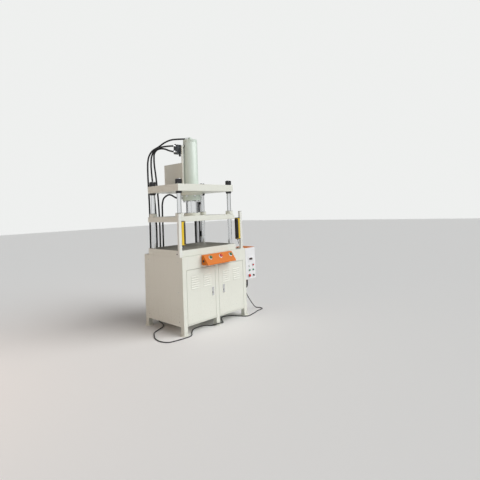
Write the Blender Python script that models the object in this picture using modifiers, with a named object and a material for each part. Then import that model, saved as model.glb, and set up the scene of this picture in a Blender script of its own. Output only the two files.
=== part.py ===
"""Four-column hydraulic press with a two-hand box and a light curtain.

Metres, +Z up. The press faces -Y: its doors and its two-hand box are on that side, and its control
box hangs on the right, at +X. Pieces are placed from the cabinet's front left corner on the floor.
One root empty then brings the middle of the press's footprint to the origin.
"""

import math

import bmesh
import bpy
import numpy as np
from mathutils import Matrix, Vector

# Clearances
FIT = 0.0003
STEM_FIT = 0.0006
DOOR_GAP = 0.004
BUTTON_GAP = 0.001
OVERCUT = 0.010

# Facets round a circle, by size
WIDE_SIDES = 32
SIDES = 20
SMALL_SIDES = 12

# Cabinet
CABINET_WIDTH = 1.058
CABINET_DEPTH = 0.750
CABINET_HEIGHT = 0.880
LEG_SIZE = 0.055
FOOT_DIAMETER = 0.100
FOOT_THICKNESS = 0.010
SKIRT_HEIGHT = 0.100
DECK_THICKNESS = 0.012
TRAY_THICKNESS = 0.004
TRAY_RISE = 0.002
RAIL_DEPTH = 0.040
SILL_HEIGHT = 0.011
DOOR_TOP = 0.725
PANEL_SHEET = 0.002
PANEL_RETURN = 0.014
PANEL_RECESS = 0.001

# Doors
DOOR_SHEET = 0.0016
DOOR_DEPTH = 0.018
PIVOT_RADIUS = 0.004
PIVOT_REACH = 0.007
PIVOT_INSET = 0.008
PIVOT_BLOCK = 0.016
LOUVRE_LENGTH = 0.120
LOUVRE_HEIGHT = 0.011
LOUVRE_REACH = 0.006
LOUVRE_EDGE = 0.0003
LOUVRE_PITCH = 0.026
LOUVRE_ROWS = 6
LOUVRE_SPREAD = 0.187
LOUVRE_BASE = 0.505

# Door latches
LATCH_WIDTH = 0.030
LATCH_HEIGHT = 0.103
LATCH_BASE = 0.375
LATCH_RIM = 0.003
LATCH_PROUD = 0.004
LEFT_LATCH_X = 0.455
RIGHT_LATCH_X = 0.638
PADDLE_THICKNESS = 0.005
LATCH_PIN_RADIUS = 0.002
KEY_RADIUS = 0.009
KEY_PROUD = 0.0025
KEY_HEIGHT = 0.036
KEY_SLOT_WIDTH = 0.0024
KEY_SLOT_LENGTH = 0.010

# Power unit in the cabinet
TANK_LENGTH = 0.420
TANK_WIDTH = 0.340
TANK_HEIGHT = 0.260
TANK_X = 0.075
TANK_Y = 0.180
TANK_FOOT = 0.020
MOTOR_DIAMETER = 0.200
MOTOR_LENGTH = 0.280
MOTOR_FLANGE = 0.250
MOTOR_FLANGE_THICKNESS = 0.014
MOTOR_FIN_DEPTH = 0.008
MOTOR_FINS = 16
MOTOR_GROOVE_SHARE = 0.9
BELL_DIAMETER = 0.160
BELL_LENGTH = 0.070
PUMP_DIAMETER = 0.110
PUMP_LENGTH = 0.130
SKID_WIDTH = 0.040
SKID_INSET = 0.020
MOTOR_FIN_INSETS = (0.020, 0.030)
MOTOR_DOME = (0.020, 0.012)
TERMINAL_BOX = (0.090, 0.065, 0.100)
TERMINAL_SINK = 0.020
TERMINAL_RISE = 0.090
MANIFOLD_SIZE = (0.150, 0.140, 0.180)
MANIFOLD_X = 0.620
MANIFOLD_SETBACK = 0.060
VALVE_BODY_HALF = 0.026
VALVE_BODY_INSET = 0.015
SOLENOID_RISE = 0.030
SOLENOID_DIAMETER = 0.040
SOLENOID_LENGTH = 0.070
SOLENOIDS = 2

# Table
TABLE_LENGTH = 0.900
TABLE_SETBACK = 0.017
TABLE_DEPTH = 0.641
TABLE_THICKNESS = 0.0747
PLATE_BEVEL = 0.003
BORE_FLOOR = 0.012

# Columns
COLUMN_DIAMETER = 0.050
COLUMN_LEFT = 0.0435
COLUMN_INSET = 0.0376
COLUMN_FRONT = 0.078
COLUMN_BACK = 0.597
COLUMN_CHAMFER = 0.002
LOCK_NUT_DIAMETER = 0.073
LOCK_NUT_HEIGHT = 0.0255
LOCK_NUT_NECK = 0.062
LOCK_NUT_TAPER = 0.009
CROWN_NUT_FLATS = 0.0685
CROWN_NUT_HEIGHT = 0.055
COLUMN_STANDOUT = 0.006

# Crown
CROWN_BASE = 1.6355
CROWN_THICKNESS = 0.084
CROWN_OVERLENGTH = 0.008
CROWN_DEPTH = 0.6015
CROWN_SETBACK = 0.037

# Slide
SLIDE_BASE = 1.278
SLIDE_THICKNESS = 0.062
SLIDE_OVERLENGTH = 0.024
SLIDE_DEPTH = 0.604
BUSH_FLANGE_DIAMETER = 0.094
BUSH_FLANGE_HEIGHT = 0.040
BUSH_CHAMFER = 0.004

# Cylinder and ram
BARREL_DIAMETER = 0.180
BARREL_BORE = 0.160
BARREL_TOP = 2.312
BARREL_CAP = 0.045
BARREL_CHAMFER = 0.006
PORT_BOSS_DIAMETER = 0.044
PORT_BOSS_HEIGHT = 0.030
PORT_HOSE_RISE = 0.016
PORT_HOSE_ANGLE = math.radians(48)
PORT_HOSE_STUB = 0.045
CLAMP_DIAMETER = 0.280
CLAMP_THICKNESS = 0.037
HEAD_DIAMETER = 0.235
HEAD_THICKNESS = 0.068
HEAD_SPIGOT = 0.030
HEAD_CHAMFER = 0.004
HEAD_PORT_ANGLE = math.radians(30)
RAM_DIAMETER = 0.150
RAM_COLLAR_DIAMETER = 0.164
RAM_COLLAR_HEIGHT = 0.012
PISTON_TOP = 2.100
PISTON_LENGTH = 0.060
RAM_FLANGE_DIAMETER = 0.210
RAM_FLANGE_THICKNESS = 0.034
RAM_FLANGE_CHAMFER = 0.003

# Oil supply on the crown
HEADER_LEFT = 0.07095
HEADER_WIDTH = 0.142
HEADER_Y = 0.432
HEADER_LENGTH = 0.378
HEADER_HEIGHT = 0.304
HEADER_BEVEL = 0.004
VALVE_BASE = 2.135
VALVE_HEIGHT = 0.115
VALVE_LEFT = 0.14695
VALVE_WIDTH = 0.064
VALVE_Y = 0.410
VALVE_LENGTH = 0.085
VALVE_COIL_DIAMETER = 0.026
VALVE_COIL_DROP = 0.032
VALVE_COIL_INSET = 0.0045
VALVE_STUB_DIAMETER = 0.018
VALVE_STUB_HEIGHT = 0.030
KNOB_LEFT = 0.13095
KNOB_Y = 0.475
KNOB_DIAMETER = 0.024
KNOB_HEIGHT = 0.014
SUCTION_LEFT = 0.11895
SUCTION_Y = 0.356
SUCTION_DIAMETER = 0.024
SUCTION_HEIGHT = 2.225
SUCTION_BEND = 0.018

# Hoses behind the press
HOSE_DIAMETER = 0.019
HOSE_POINTS = 26
BEND_WEIGHT = 0.12
FERRULE_SWELL = 1.32
FERRULE_LENGTH = 0.042
FERRULE_EDGE = 0.0006
CAP_STUB = 0.002
HOSE_BEHIND = 0.032

# Stroke limit rail behind the table
RAIL_INSET = 0.094
RAIL_WIDTH = 0.048
RAIL_THICKNESS = 0.006
RAIL_BEHIND = 0.030
CHANNEL_GAP = 0.0003
CHANNEL_WIDTH = 0.079
CHANNEL_DEPTH = 0.018
CHANNEL_SHEET = 0.003
CHANNEL_TOP = 1.630
SWITCH_HEIGHTS = (1.040, 1.500)
SWITCH_SIZE = (0.034, 0.024, 0.070)
SWITCH_ROLLER = 0.009
SWITCH_ROLLER_REACH = 0.014
SWITCH_INSET = 0.001
RAIL_CONDUIT_INSET = 0.110
RAIL_CONDUIT_DIAMETER = 0.028
RAIL_CONDUIT_SETBACK = 0.012
CAM_WIDTH = 0.030
CAM_HEIGHT = 0.040
CAM_THICKNESS = 0.0185

# Light curtain
POST_WIDTH = 0.040
POST_DEPTH = 0.030
POST_TOP = 1.375
POST_BEVEL = 0.002
LEFT_POST_X = -0.043
LEFT_POST_Y = -0.012
LEFT_PLATE_THICKNESS = 0.008
LEFT_PLATE_LENGTH = 0.100
LEFT_PLATE_BASE = 0.884
LEFT_PLATE_HEIGHT = 0.060
RIGHT_POST_GAP = 0.080
RIGHT_PLATE_SIZE = (0.064, 0.080, 0.008)
GUSSET_REACH = 0.030
GUSSET_HEIGHT = 0.030
GUSSET_THICKNESS = 0.006
LEFT_HEAD_Y = -0.015
RIGHT_HEAD_Y = 0.003
HEAD_UNIT_WIDTH = 0.052
HEAD_UNIT_DEPTH = 0.045
HEAD_UNIT_BASE = 1.010
HEAD_UNIT_HEIGHT = 0.280
HEAD_UNIT_BEVEL = 0.003
HEAD_UNIT_WINDOW = 0.026
HEAD_UNIT_WINDOW_DEPTH = 0.002
HEAD_UNIT_CAP = 0.012

# Two-hand box
HAND_BOX_X = 0.286
HAND_BOX_LENGTH = 0.479
HAND_BOX_TOP = 0.875
HAND_BOX_SHELF = 0.035
HAND_BOX_REACH = 0.113
HAND_BOX_LIP = 0.767
HAND_BOX_BASE = 0.760
HAND_BOX_BEVEL = 0.003
HAND_BUTTON_SPREAD = 0.170
HAND_BUTTON_SHIFT = 0.020
HAND_BUTTON_SLIDE = 0.0235
PLUG_HOLE_DIAMETER = 0.024
PLUG_HOLE_DEPTH = 0.006
PLUG_HOLE_Y = -0.037
PLUG_HOLE_Z = 0.805

# Mushroom buttons
MUSHROOM_DIAMETER = 0.040
MUSHROOM_CROWN = 0.014
MUSHROOM_NECK = 0.022
MUSHROOM_STEM = 0.012
BEZEL_DIAMETER = 0.052
BEZEL_HEIGHT = 0.004
RUN_TRAVEL = 0.005
STOP_TRAVEL = 0.004
STEM_DIAMETER = 0.014

# Control box
CONTROL_WIDTH = 0.202
CONTROL_DEPTH = 0.220
CONTROL_BASE = 0.455
CONTROL_HEIGHT = 0.425
CONTROL_BEVEL = 0.003
CONTROL_PANEL_THICKNESS = 0.004
PANEL_FRONT = 0.0
CONTROL_PANEL_MARGIN = 0.006
DISPLAY_X = 1.166
DISPLAY_Z = 0.725
DISPLAY_WIDTH = 0.090
DISPLAY_HEIGHT = 0.052
DISPLAY_RECESS = 0.0015
SMALL_BUTTON_DIAMETER = 0.022
SMALL_BUTTON_HEIGHT = 0.007
SMALL_BUTTON_TRAVEL = 0.003
SMALL_BEZEL_DIAMETER = 0.030
SMALL_BEZEL_HEIGHT = 0.003
SMALL_STEM = 0.010
PANEL_BUTTONS = {
    "white_button": (1.132, 0.636),
    "red_button": (1.205, 0.642),
    "left_green_button": (1.131, 0.578),
    "right_green_button": (1.206, 0.578),
}
PANEL_STOP = (1.126, 0.508)
SELECTOR = (1.209, 0.504)
SELECTOR_GRIP_LENGTH = 0.024
SELECTOR_GRIP_WIDTH = 0.007
SELECTOR_GRIP_HEIGHT = 0.012

# Conduit and supply cord
CONDUIT_DIAMETER = 0.024
CONDUIT_SIDE_REACH = 0.048
CONDUIT_STUB = 0.012
CONDUIT_DROP = 0.100
GLAND_X = 1.170
GLAND_Y = 0.130
GLAND_DIAMETER = 0.026
GLAND_NUT = 0.014
GLAND_TAIL = 0.020
CORD_DIAMETER = 0.011
CORD_LIFT = 0.0003
CORD_POINTS = 70
COIL_OUTER_RADIUS = 0.070
COIL_INNER_RADIUS = 0.045
COIL_HEIGHT = 0.024
COIL_CHAMFER = 0.004
COIL_X = 0.300
COIL_Y = 0.870
PLUG_DIAMETER = 0.048
PLUG_LENGTH = 0.110
PLUG_TAIL = 0.030
PIN_DIAMETER = 0.005
PIN_LENGTH = 0.022
PIN_CIRCLE = 0.024
PINS = 4

# Places that follow from the sizes above
CABINET_MIDDLE = CABINET_WIDTH / 2
DECK_BASE = CABINET_HEIGHT - DECK_THICKNESS
SILL_TOP = SKIRT_HEIGHT + SILL_HEIGHT
TRAY_BASE = SKIRT_HEIGHT + TRAY_RISE
TRAY_TOP = TRAY_BASE + TRAY_THICKNESS
DOOR_BASE = SILL_TOP + DOOR_GAP
LINTEL_BASE = DOOR_TOP + DOOR_GAP
TABLE_BASE = CABINET_HEIGHT + FIT
TABLE_TOP = TABLE_BASE + TABLE_THICKNESS
TABLE_BACK = TABLE_SETBACK + TABLE_DEPTH
COLUMN_RIGHT = TABLE_LENGTH - COLUMN_INSET
CROWN_LENGTH = TABLE_LENGTH + CROWN_OVERLENGTH
SLIDE_LENGTH = TABLE_LENGTH + SLIDE_OVERLENGTH
HOSE_Y = TABLE_BACK + HOSE_BEHIND
RAIL_X = TABLE_LENGTH - RAIL_INSET
RAIL_Y = TABLE_BACK + RAIL_BEHIND
RAIL_CONDUIT_X = TABLE_LENGTH - RAIL_CONDUIT_INSET
RIGHT_POST_X = TABLE_LENGTH + RIGHT_POST_GAP
CROWN_TOP = CROWN_BASE + CROWN_THICKNESS
CROWN_LEFT = (COLUMN_LEFT + COLUMN_RIGHT - CROWN_LENGTH) / 2
SLIDE_LEFT = (COLUMN_LEFT + COLUMN_RIGHT - SLIDE_LENGTH) / 2
SLIDE_FRONT = (COLUMN_FRONT + COLUMN_BACK - SLIDE_DEPTH) / 2
SLIDE_TOP = SLIDE_BASE + SLIDE_THICKNESS
AXIS_X = (COLUMN_LEFT + COLUMN_RIGHT) / 2
AXIS_Y = (COLUMN_FRONT + COLUMN_BACK) / 2
HEADER_X = AXIS_X - HEADER_LEFT
VALVE_X = AXIS_X - VALVE_LEFT
KNOB_X = AXIS_X - KNOB_LEFT
SUCTION_X = AXIS_X - SUCTION_LEFT
CLAMP_BASE = CROWN_BASE - FIT - CLAMP_THICKNESS
HEAD_TOP = CLAMP_BASE - FIT
HEAD_BASE = HEAD_TOP - HEAD_THICKNESS
CONTROL_LEFT = CABINET_WIDTH + FIT
CONTROL_TOP = CONTROL_BASE + CONTROL_HEIGHT
HEADER_BASE = CROWN_TOP + FIT
HEADER_TOP = HEADER_BASE + HEADER_HEIGHT
COLUMN_PLACES = {
    "front_left": (COLUMN_LEFT, COLUMN_FRONT),
    "front_right": (COLUMN_RIGHT, COLUMN_FRONT),
    "back_left": (COLUMN_LEFT, COLUMN_BACK),
    "back_right": (COLUMN_RIGHT, COLUMN_BACK),
}

# Colour, roughness and metallic value of each finish
FINISHES = {
    "cream_paint": ((0.76, 0.78, 0.70), 0.42, 0.0),
    "tank_paint": ((0.55, 0.52, 0.44), 0.50, 0.0),
    "mint_paint": ((0.69, 0.76, 0.70), 0.35, 0.0),
    "orange_paint": ((0.80, 0.22, 0.02), 0.40, 0.0),
    "motor_paint": ((0.10, 0.20, 0.32), 0.45, 0.0),
    "chrome": ((0.80, 0.81, 0.82), 0.08, 1.0),
    "black_oxide": ((0.030, 0.030, 0.032), 0.45, 0.6),
    "grey_iron": ((0.13, 0.13, 0.13), 0.50, 0.5),
    "aluminium": ((0.72, 0.73, 0.73), 0.32, 1.0),
    "black_plastic": ((0.020, 0.020, 0.022), 0.45, 0.0),
    "black_rubber": ((0.015, 0.015, 0.016), 0.70, 0.0),
    "yellow_plastic": ((0.80, 0.60, 0.08), 0.40, 0.0),
    "white_plastic": ((0.80, 0.80, 0.77), 0.35, 0.0),
    "green_plastic": ((0.03, 0.40, 0.10), 0.35, 0.0),
    "red_plastic": ((0.60, 0.02, 0.02), 0.35, 0.0),
}

SHARP_ANGLE = math.radians(35)
BEVEL_ANGLE = math.radians(40)


def clear_scene():
    """Removes what the scene holds, so that only the press is left."""
    for obj in list(bpy.data.objects):
        bpy.data.objects.remove(obj, do_unlink=True)
    for collection in list(bpy.data.collections):
        bpy.data.collections.remove(collection)


def new_collection(name):
    """A collection of the scene under this name."""
    collection = bpy.data.collections.new(name)
    bpy.context.scene.collection.children.link(collection)
    return collection


def finish(name):
    """The material of this finish, made on its first use."""
    found = bpy.data.materials.get(name)
    if found:
        return found
    colour, roughness, metallic = FINISHES[name]
    made = bpy.data.materials.new(name)
    made.use_nodes = True
    shader = made.node_tree.nodes["Principled BSDF"]
    shader.inputs["Base Color"].default_value = (*colour, 1.0)
    shader.inputs["Roughness"].default_value = roughness
    shader.inputs["Metallic"].default_value = metallic
    made.diffuse_color = (*colour, 1.0)
    return made


def add_box(bm, low, high):
    """Adds the box between two corners."""
    low, high = Vector(low), Vector(high)
    matrix = Matrix.Translation((low + high) / 2) @ Matrix.Diagonal((*(high - low), 1.0))
    bmesh.ops.create_cube(bm, size=1.0, matrix=matrix)


def add_round(bm, start, end, radius, sides=SIDES, end_radius=None):
    """Adds a cylinder, or a cone with end_radius, from start to end."""
    start, end = Vector(start), Vector(end)
    along = end - start
    turn = along.to_track_quat("Z", "Y").to_matrix().to_4x4()
    bmesh.ops.create_cone(
        bm,
        cap_ends=True,
        segments=sides,
        radius1=radius,
        radius2=radius if end_radius is None else end_radius,
        depth=along.length,
        matrix=Matrix.Translation((start + end) / 2) @ turn,
    )


def as_object(name, bm, collection, material=None, origin=(0.0, 0.0, 0.0)):
    """Makes an object of the bmesh, with its origin at the given point."""
    mesh = bpy.data.meshes.new(name)
    bmesh.ops.translate(bm, verts=bm.verts, vec=-Vector(origin))
    bm.to_mesh(mesh)
    bm.free()
    mesh.shade_smooth()
    mesh.set_sharp_from_angle(angle=SHARP_ANGLE)
    obj = bpy.data.objects.new(name, mesh)
    obj.location = origin
    collection.objects.link(obj)
    if material:
        mesh.materials.append(finish(material))
    else:
        obj.hide_render = True
        obj.display_type = "WIRE"
    return obj


def part(name, bm, material, origin=(0.0, 0.0, 0.0)):
    """Makes a piece of the press."""
    return as_object(name, bm, PARTS, material, origin)


def tool(name, bm):
    """Makes a hidden body that another piece is joined with or cut by."""
    return as_object(name, bm, TOOLS)


def box_part(name, low, high, material, bevel=0.0):
    """Makes a piece that starts as a box, with its origin at the box's middle."""
    bm = bmesh.new()
    add_box(bm, low, high)
    obj = part(name, bm, material, origin=(Vector(low) + Vector(high)) / 2)
    if bevel:
        soften(obj, bevel)
    return obj


def soften(obj, width, segments=1):
    """Bevels the object's edges."""
    bevel = obj.modifiers.new("edges", "BEVEL")
    bevel.width = width
    bevel.segments = segments
    bevel.limit_method = "ANGLE"
    bevel.angle_limit = BEVEL_ANGLE


def combine(obj, other, operation):
    """Adds an exact Boolean with a hidden body."""
    boolean = obj.modifiers.new(other.name, "BOOLEAN")
    boolean.operation = operation
    boolean.object = other
    boolean.solver = "EXACT"


def join(obj, other):
    """Joins a hidden body to the object."""
    combine(obj, other, "UNION")


def cut(obj, other):
    """Cuts a hidden body out of the object."""
    combine(obj, other, "DIFFERENCE")


def turned(name, profile, material, at, sides=SIDES, collection=None, direction=None):
    """Turns a profile of (radius, height) points about the Z axis through the given place.

    Args:
        name: the object's name.
        profile: the outline from the top down its outer side, closed where it is a ring.
        material: the finish's name, or None for a hidden body.
        at: the place of the profile's zero.
        sides: the number of facets.
        collection: where the object goes, the parts' collection if None.
        direction: the axis that the profile's height follows, +Z if None.
    """
    bm = bmesh.new()
    points = [bm.verts.new((radius, 0.0, height)) for radius, height in profile]
    for first, second in zip(points, points[1:]):
        bm.edges.new((first, second))
    if profile[0][0] > 0.0:
        bm.edges.new((points[-1], points[0]))
    obj = as_object(name, bm, collection or PARTS, material)
    obj.location = at
    if direction is not None:
        obj.rotation_euler = Vector(direction).to_track_quat("Z", "Y").to_euler()
    screw = obj.modifiers.new("turn", "SCREW")
    screw.axis = "Z"
    screw.angle = math.tau
    screw.steps = sides
    screw.render_steps = sides
    screw.use_merge_vertices = True
    screw.merge_threshold = 0.00005
    screw.use_smooth_shade = False
    return obj


def outline_part(name, outline, depth, material, place, collection=None):
    """Extrudes a flat outline into a closed mesh.

    Args:
        name: the object's name.
        outline: the (x, y) points round it.
        depth: the thickness along the outline's own Z.
        material: the finish's name, or None for a hidden body.
        place: the matrix from the outline's frame, whose Z=0 is mid-depth, to the press's.
        collection: where the object goes, the parts' collection if None.
    """
    curve = bpy.data.curves.new(name + "_outline", "CURVE")
    curve.dimensions = "2D"
    curve.fill_mode = "BOTH"
    curve.extrude = depth / 2
    spline = curve.splines.new("POLY")
    spline.points.add(len(outline) - 1)
    for point, (x, y) in zip(spline.points, outline):
        point.co = (x, y, 0.0, 1.0)
    spline.use_cyclic_u = True
    bm = mesh_of_curve(name, curve, place)
    return as_object(name, bm, collection or PARTS, material)


def mesh_of_curve(name, curve, place):
    """The curve's surface as a bmesh with welded caps, and the curve removed."""
    guide = bpy.data.objects.new(name + "_guide", curve)
    bpy.context.scene.collection.objects.link(guide)
    graph = bpy.context.evaluated_depsgraph_get()
    mesh = bpy.data.meshes.new_from_object(guide.evaluated_get(graph))
    bm = bmesh.new()
    bm.from_mesh(mesh)
    bmesh.ops.remove_doubles(bm, verts=bm.verts, dist=0.00001)
    bm.transform(place)
    bmesh.ops.recalc_face_normals(bm, faces=bm.faces)
    bpy.data.objects.remove(guide)
    bpy.data.curves.remove(curve)
    bpy.data.meshes.remove(mesh)
    return bm


def along_route(points, per_span=24):
    """Points close together along the smooth curve through the route, which ends square.

    The curve never dips lower than the route's lowest point, so a cord on the floor stays on it.
    """
    route = [np.array(tuple(point)) for point in points]
    for end, beside in ((0, 1), (-1, -2)):
        along = route[beside] - route[end]
        stub = route[end] + along / np.linalg.norm(along) * 2 * CAP_STUB
        route.insert(1 if end == 0 else -1, stub)
    route = np.array(route)
    lengths = np.linalg.norm(np.diff(route, axis=0), axis=1)[:, None]
    slopes = np.diff(route, axis=0) / lengths
    inner = slopes[:-1] * lengths[1:] + slopes[1:] * lengths[:-1]
    inner = inner / (lengths[:-1] + lengths[1:])
    tangents = np.concatenate([slopes[:1], inner, slopes[-1:]])
    t = (np.arange(per_span) / per_span)[:, None]
    dense = [
        (1 + 2 * t) * (1 - t) ** 2 * start
        + t * (1 - t) ** 2 * length * leaving
        + t**2 * (3 - 2 * t) * end
        - t**2 * (1 - t) * length * arriving
        for start, end, length, leaving, arriving in zip(
            route, route[1:], lengths, tangents, tangents[1:]
        )
    ]
    curve = np.concatenate([*dense, route[-1:]])
    curve[:, 2] = np.maximum(curve[:, 2], route[:, 2].min())
    return curve


def tube(name, points, diameter, material, count, ferrule=0.0, resolution=2):
    """Runs a round tube with filled caps along the smooth curve through the points.

    Args:
        name: the object's name.
        points: the route's points.
        diameter: the tube's diameter.
        material: the finish's name.
        count: the number of the tube's points, which gather in its bends.
        ferrule: the length of the wider fitting at both ends.
        resolution: the bevel's resolution.
    """
    dense = along_route(points)
    steps = np.diff(dense, axis=0)
    lengths = np.linalg.norm(steps, axis=1)
    travelled = np.concatenate([[0.0], np.cumsum(lengths)])
    length = float(travelled[-1])
    headings = steps / lengths[:, None]
    turns = np.linalg.norm(np.diff(headings, axis=0), axis=1)
    effort = lengths + BEND_WEIGHT * np.concatenate([[0.0], turns])
    spent = np.concatenate([[0.0], np.cumsum(effort)])
    even = np.interp(np.linspace(0.0, spent[-1], count), spent, travelled)
    stations = [(float(s), 1.0) for s in even if not 0.0 < s < 2 * CAP_STUB]
    stations = [pair for pair in stations if not length - 2 * CAP_STUB < pair[0] < length]
    stations += [(CAP_STUB, 1.0), (length - CAP_STUB, 1.0)]
    if ferrule:
        margin = ferrule + 3 * FERRULE_EDGE
        inner = [s for s, _ in stations if s < ferrule * 0.9 or s > length - ferrule * 0.9]
        stations = [pair for pair in stations if margin < pair[0] < length - margin]
        stations += [(s, FERRULE_SWELL) for s in (*inner, ferrule, length - ferrule)]
        stations += [(ferrule + FERRULE_EDGE, 1.0), (length - ferrule - FERRULE_EDGE, 1.0)]
    stations.sort()
    curve = bpy.data.curves.new(name, "CURVE")
    curve.dimensions = "3D"
    curve.bevel_depth = diameter / 2
    curve.bevel_resolution = resolution
    curve.use_fill_caps = True
    curve.materials.append(finish(material))
    spline = curve.splines.new("POLY")
    spline.points.add(len(stations) - 1)
    for point, (station, swell) in zip(spline.points, stations):
        place = [float(np.interp(station, travelled, dense[:, axis])) for axis in range(3)]
        point.co = (*place, 1.0)
        point.radius = swell
    obj = bpy.data.objects.new(name, curve)
    PARTS.objects.link(obj)
    return obj


def tilted(origin, x_axis, y_axis):
    """The matrix of a frame at origin with these X and Y axes."""
    x_axis, y_axis = Vector(x_axis).normalized(), Vector(y_axis).normalized()
    z_axis = x_axis.cross(y_axis)
    turn = Matrix((x_axis, y_axis, z_axis)).transposed().to_4x4()
    return Matrix.Translation(origin) @ turn


def leg_places():
    """The lower left corners of the six legs in plan, front row first."""
    rights = (0.0, CABINET_MIDDLE - LEG_SIZE / 2, CABINET_WIDTH - LEG_SIZE)
    return [(x, y) for y in (0.0, CABINET_DEPTH - LEG_SIZE) for x in rights]


def make_cabinet_frame():
    """The welded frame: deck, six legs on foot plates, rails, sill and floor tray."""
    frame = box_part(
        "cabinet_frame",
        (0.0, 0.0, DECK_BASE),
        (CABINET_WIDTH, CABINET_DEPTH, CABINET_HEIGHT),
        "cream_paint",
    )
    legs = bmesh.new()
    for x, y in leg_places():
        add_box(legs, (x, y, FOOT_THICKNESS / 2), (x + LEG_SIZE, y + LEG_SIZE, DECK_BASE + 0.002))
    feet = bmesh.new()
    for x, y in leg_places():
        middle = Vector((x + LEG_SIZE / 2, y + LEG_SIZE / 2, 0.0))
        top = middle + Vector((0.0, 0.0, FOOT_THICKNESS))
        add_round(feet, middle, top, FOOT_DIAMETER / 2, SIDES)
    inside = LEG_SIZE / 2
    far_x, far_y = CABINET_WIDTH - inside, CABINET_DEPTH - inside
    for low, high in ((LINTEL_BASE, DECK_BASE + 0.003), (SKIRT_HEIGHT, SILL_TOP)):
        ring = bmesh.new()
        add_box(ring, (inside, 0.0, low), (far_x, RAIL_DEPTH, high))
        add_box(ring, (inside, CABINET_DEPTH - RAIL_DEPTH, low), (far_x, CABINET_DEPTH, high))
        join(frame, tool(f"long_rails_{low:.2f}", ring))
        sides = bmesh.new()
        reach = RAIL_DEPTH - PANEL_SHEET - PANEL_RECESS
        add_box(sides, (RAIL_DEPTH - reach, inside, low), (RAIL_DEPTH, far_y, high))
        right = CABINET_WIDTH - RAIL_DEPTH
        add_box(sides, (right, inside, low), (right + reach, far_y, high))
        join(frame, tool(f"side_rails_{low:.2f}", sides))
    edge = RAIL_DEPTH / 2
    tray = bmesh.new()
    add_box(tray, (edge, edge, TRAY_BASE), (CABINET_WIDTH - edge, CABINET_DEPTH - edge, TRAY_TOP))
    join(frame, tool("frame_legs", legs))
    join(frame, tool("frame_feet", feet))
    join(frame, tool("floor_tray", tray))
    pivots = bmesh.new()
    for x, y in door_axes():
        depth = PIVOT_REACH + DOOR_GAP + FIT
        for z in (SILL_TOP - PIVOT_REACH + DOOR_GAP - FIT, LINTEL_BASE - 0.001):
            add_round(pivots, (x, y, z), (x, y, z + depth), PIVOT_RADIUS + FIT, SMALL_SIDES)
    cut(frame, tool("pivot_holes", pivots))


def door_axes():
    """The plan places of the two doors' pivots, left and right."""
    inset = LEG_SIZE + DOOR_GAP + PIVOT_INSET
    return (inset, PIVOT_INSET), (CABINET_WIDTH - inset, PIVOT_INSET)


def make_panels():
    """The left, right and back covers: sheets with a return flange along the bottom."""
    near, far = LEG_SIZE + FIT, CABINET_DEPTH - LEG_SIZE - FIT
    low, high = SKIRT_HEIGHT, DECK_BASE - FIT
    outer = PANEL_RECESS
    for name, x_out, inward in (
        ("left_side_panel", outer, 1),
        ("right_side_panel", CABINET_WIDTH - outer, -1),
    ):
        x_in = x_out + inward * (PANEL_SHEET - FIT)
        panel = box_part(
            name,
            (min(x_out, x_in), near, low),
            (max(x_out, x_in), far, high),
            "cream_paint",
        )
        flange = bmesh.new()
        x_end = x_out + inward * PANEL_RETURN
        add_box(
            flange,
            (min(x_out, x_end), near, low - PANEL_SHEET - FIT),
            (max(x_out, x_end), far, low - FIT),
        )
        web = bmesh.new()
        add_box(web, (min(x_out, x_in), near, low - PANEL_SHEET), (max(x_out, x_in), far, low + OVERCUT))
        join(panel, tool(name + "_flange", flange))
        join(panel, tool(name + "_web", web))
    box_part(
        "back_panel",
        (LEG_SIZE + FIT, CABINET_DEPTH + FIT, low),
        (CABINET_WIDTH - LEG_SIZE - FIT, CABINET_DEPTH + FIT + PANEL_SHEET, high),
        "cream_paint",
    )


def bay_spans():
    """The start and width of the two bays between the front legs."""
    width = CABINET_MIDDLE - 1.5 * LEG_SIZE
    return (LEG_SIZE, width), (CABINET_MIDDLE + LEG_SIZE / 2, width)


def add_hood(bm, x, low, high, length, back, front_low, front_high):
    """Adds a louvre's wedge: a box whose front face leans from front_low out of front_high."""
    made = bmesh.ops.create_cube(
        bm,
        size=1.0,
        matrix=Matrix.Translation((x, (back + front_low) / 2, (low + high) / 2))
        @ Matrix.Diagonal((length, back - front_low, high - low, 1.0)),
    )
    for vert in made["verts"]:
        if vert.co.z > (low + high) / 2 and vert.co.y < (back + front_low) / 2:
            vert.co.y = front_high


def make_louvres(door, middle_x):
    """Presses two banks of louvres into the door, each hood open at its foot."""
    sheet = DOOR_SHEET
    lean = LOUVRE_REACH * sheet / LOUVRE_HEIGHT
    hoods = bmesh.new()
    slots = bmesh.new()
    for bank in (-1, 1):
        x = middle_x + bank * LOUVRE_SPREAD / 2
        for row in range(LOUVRE_ROWS):
            z = LOUVRE_BASE + row * LOUVRE_PITCH
            top = z + LOUVRE_HEIGHT
            add_hood(hoods, x, z, top, LOUVRE_LENGTH, sheet / 2, -LOUVRE_REACH, LOUVRE_EDGE)
            add_hood(
                slots,
                x,
                z - sheet,
                top - sheet,
                LOUVRE_LENGTH - 2 * sheet,
                sheet + 0.001,
                sheet - LOUVRE_REACH - lean,
                sheet - lean,
            )
    join(door, tool(door.name + "_hoods", hoods))
    cut(door, tool(door.name + "_slots", slots))


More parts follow.
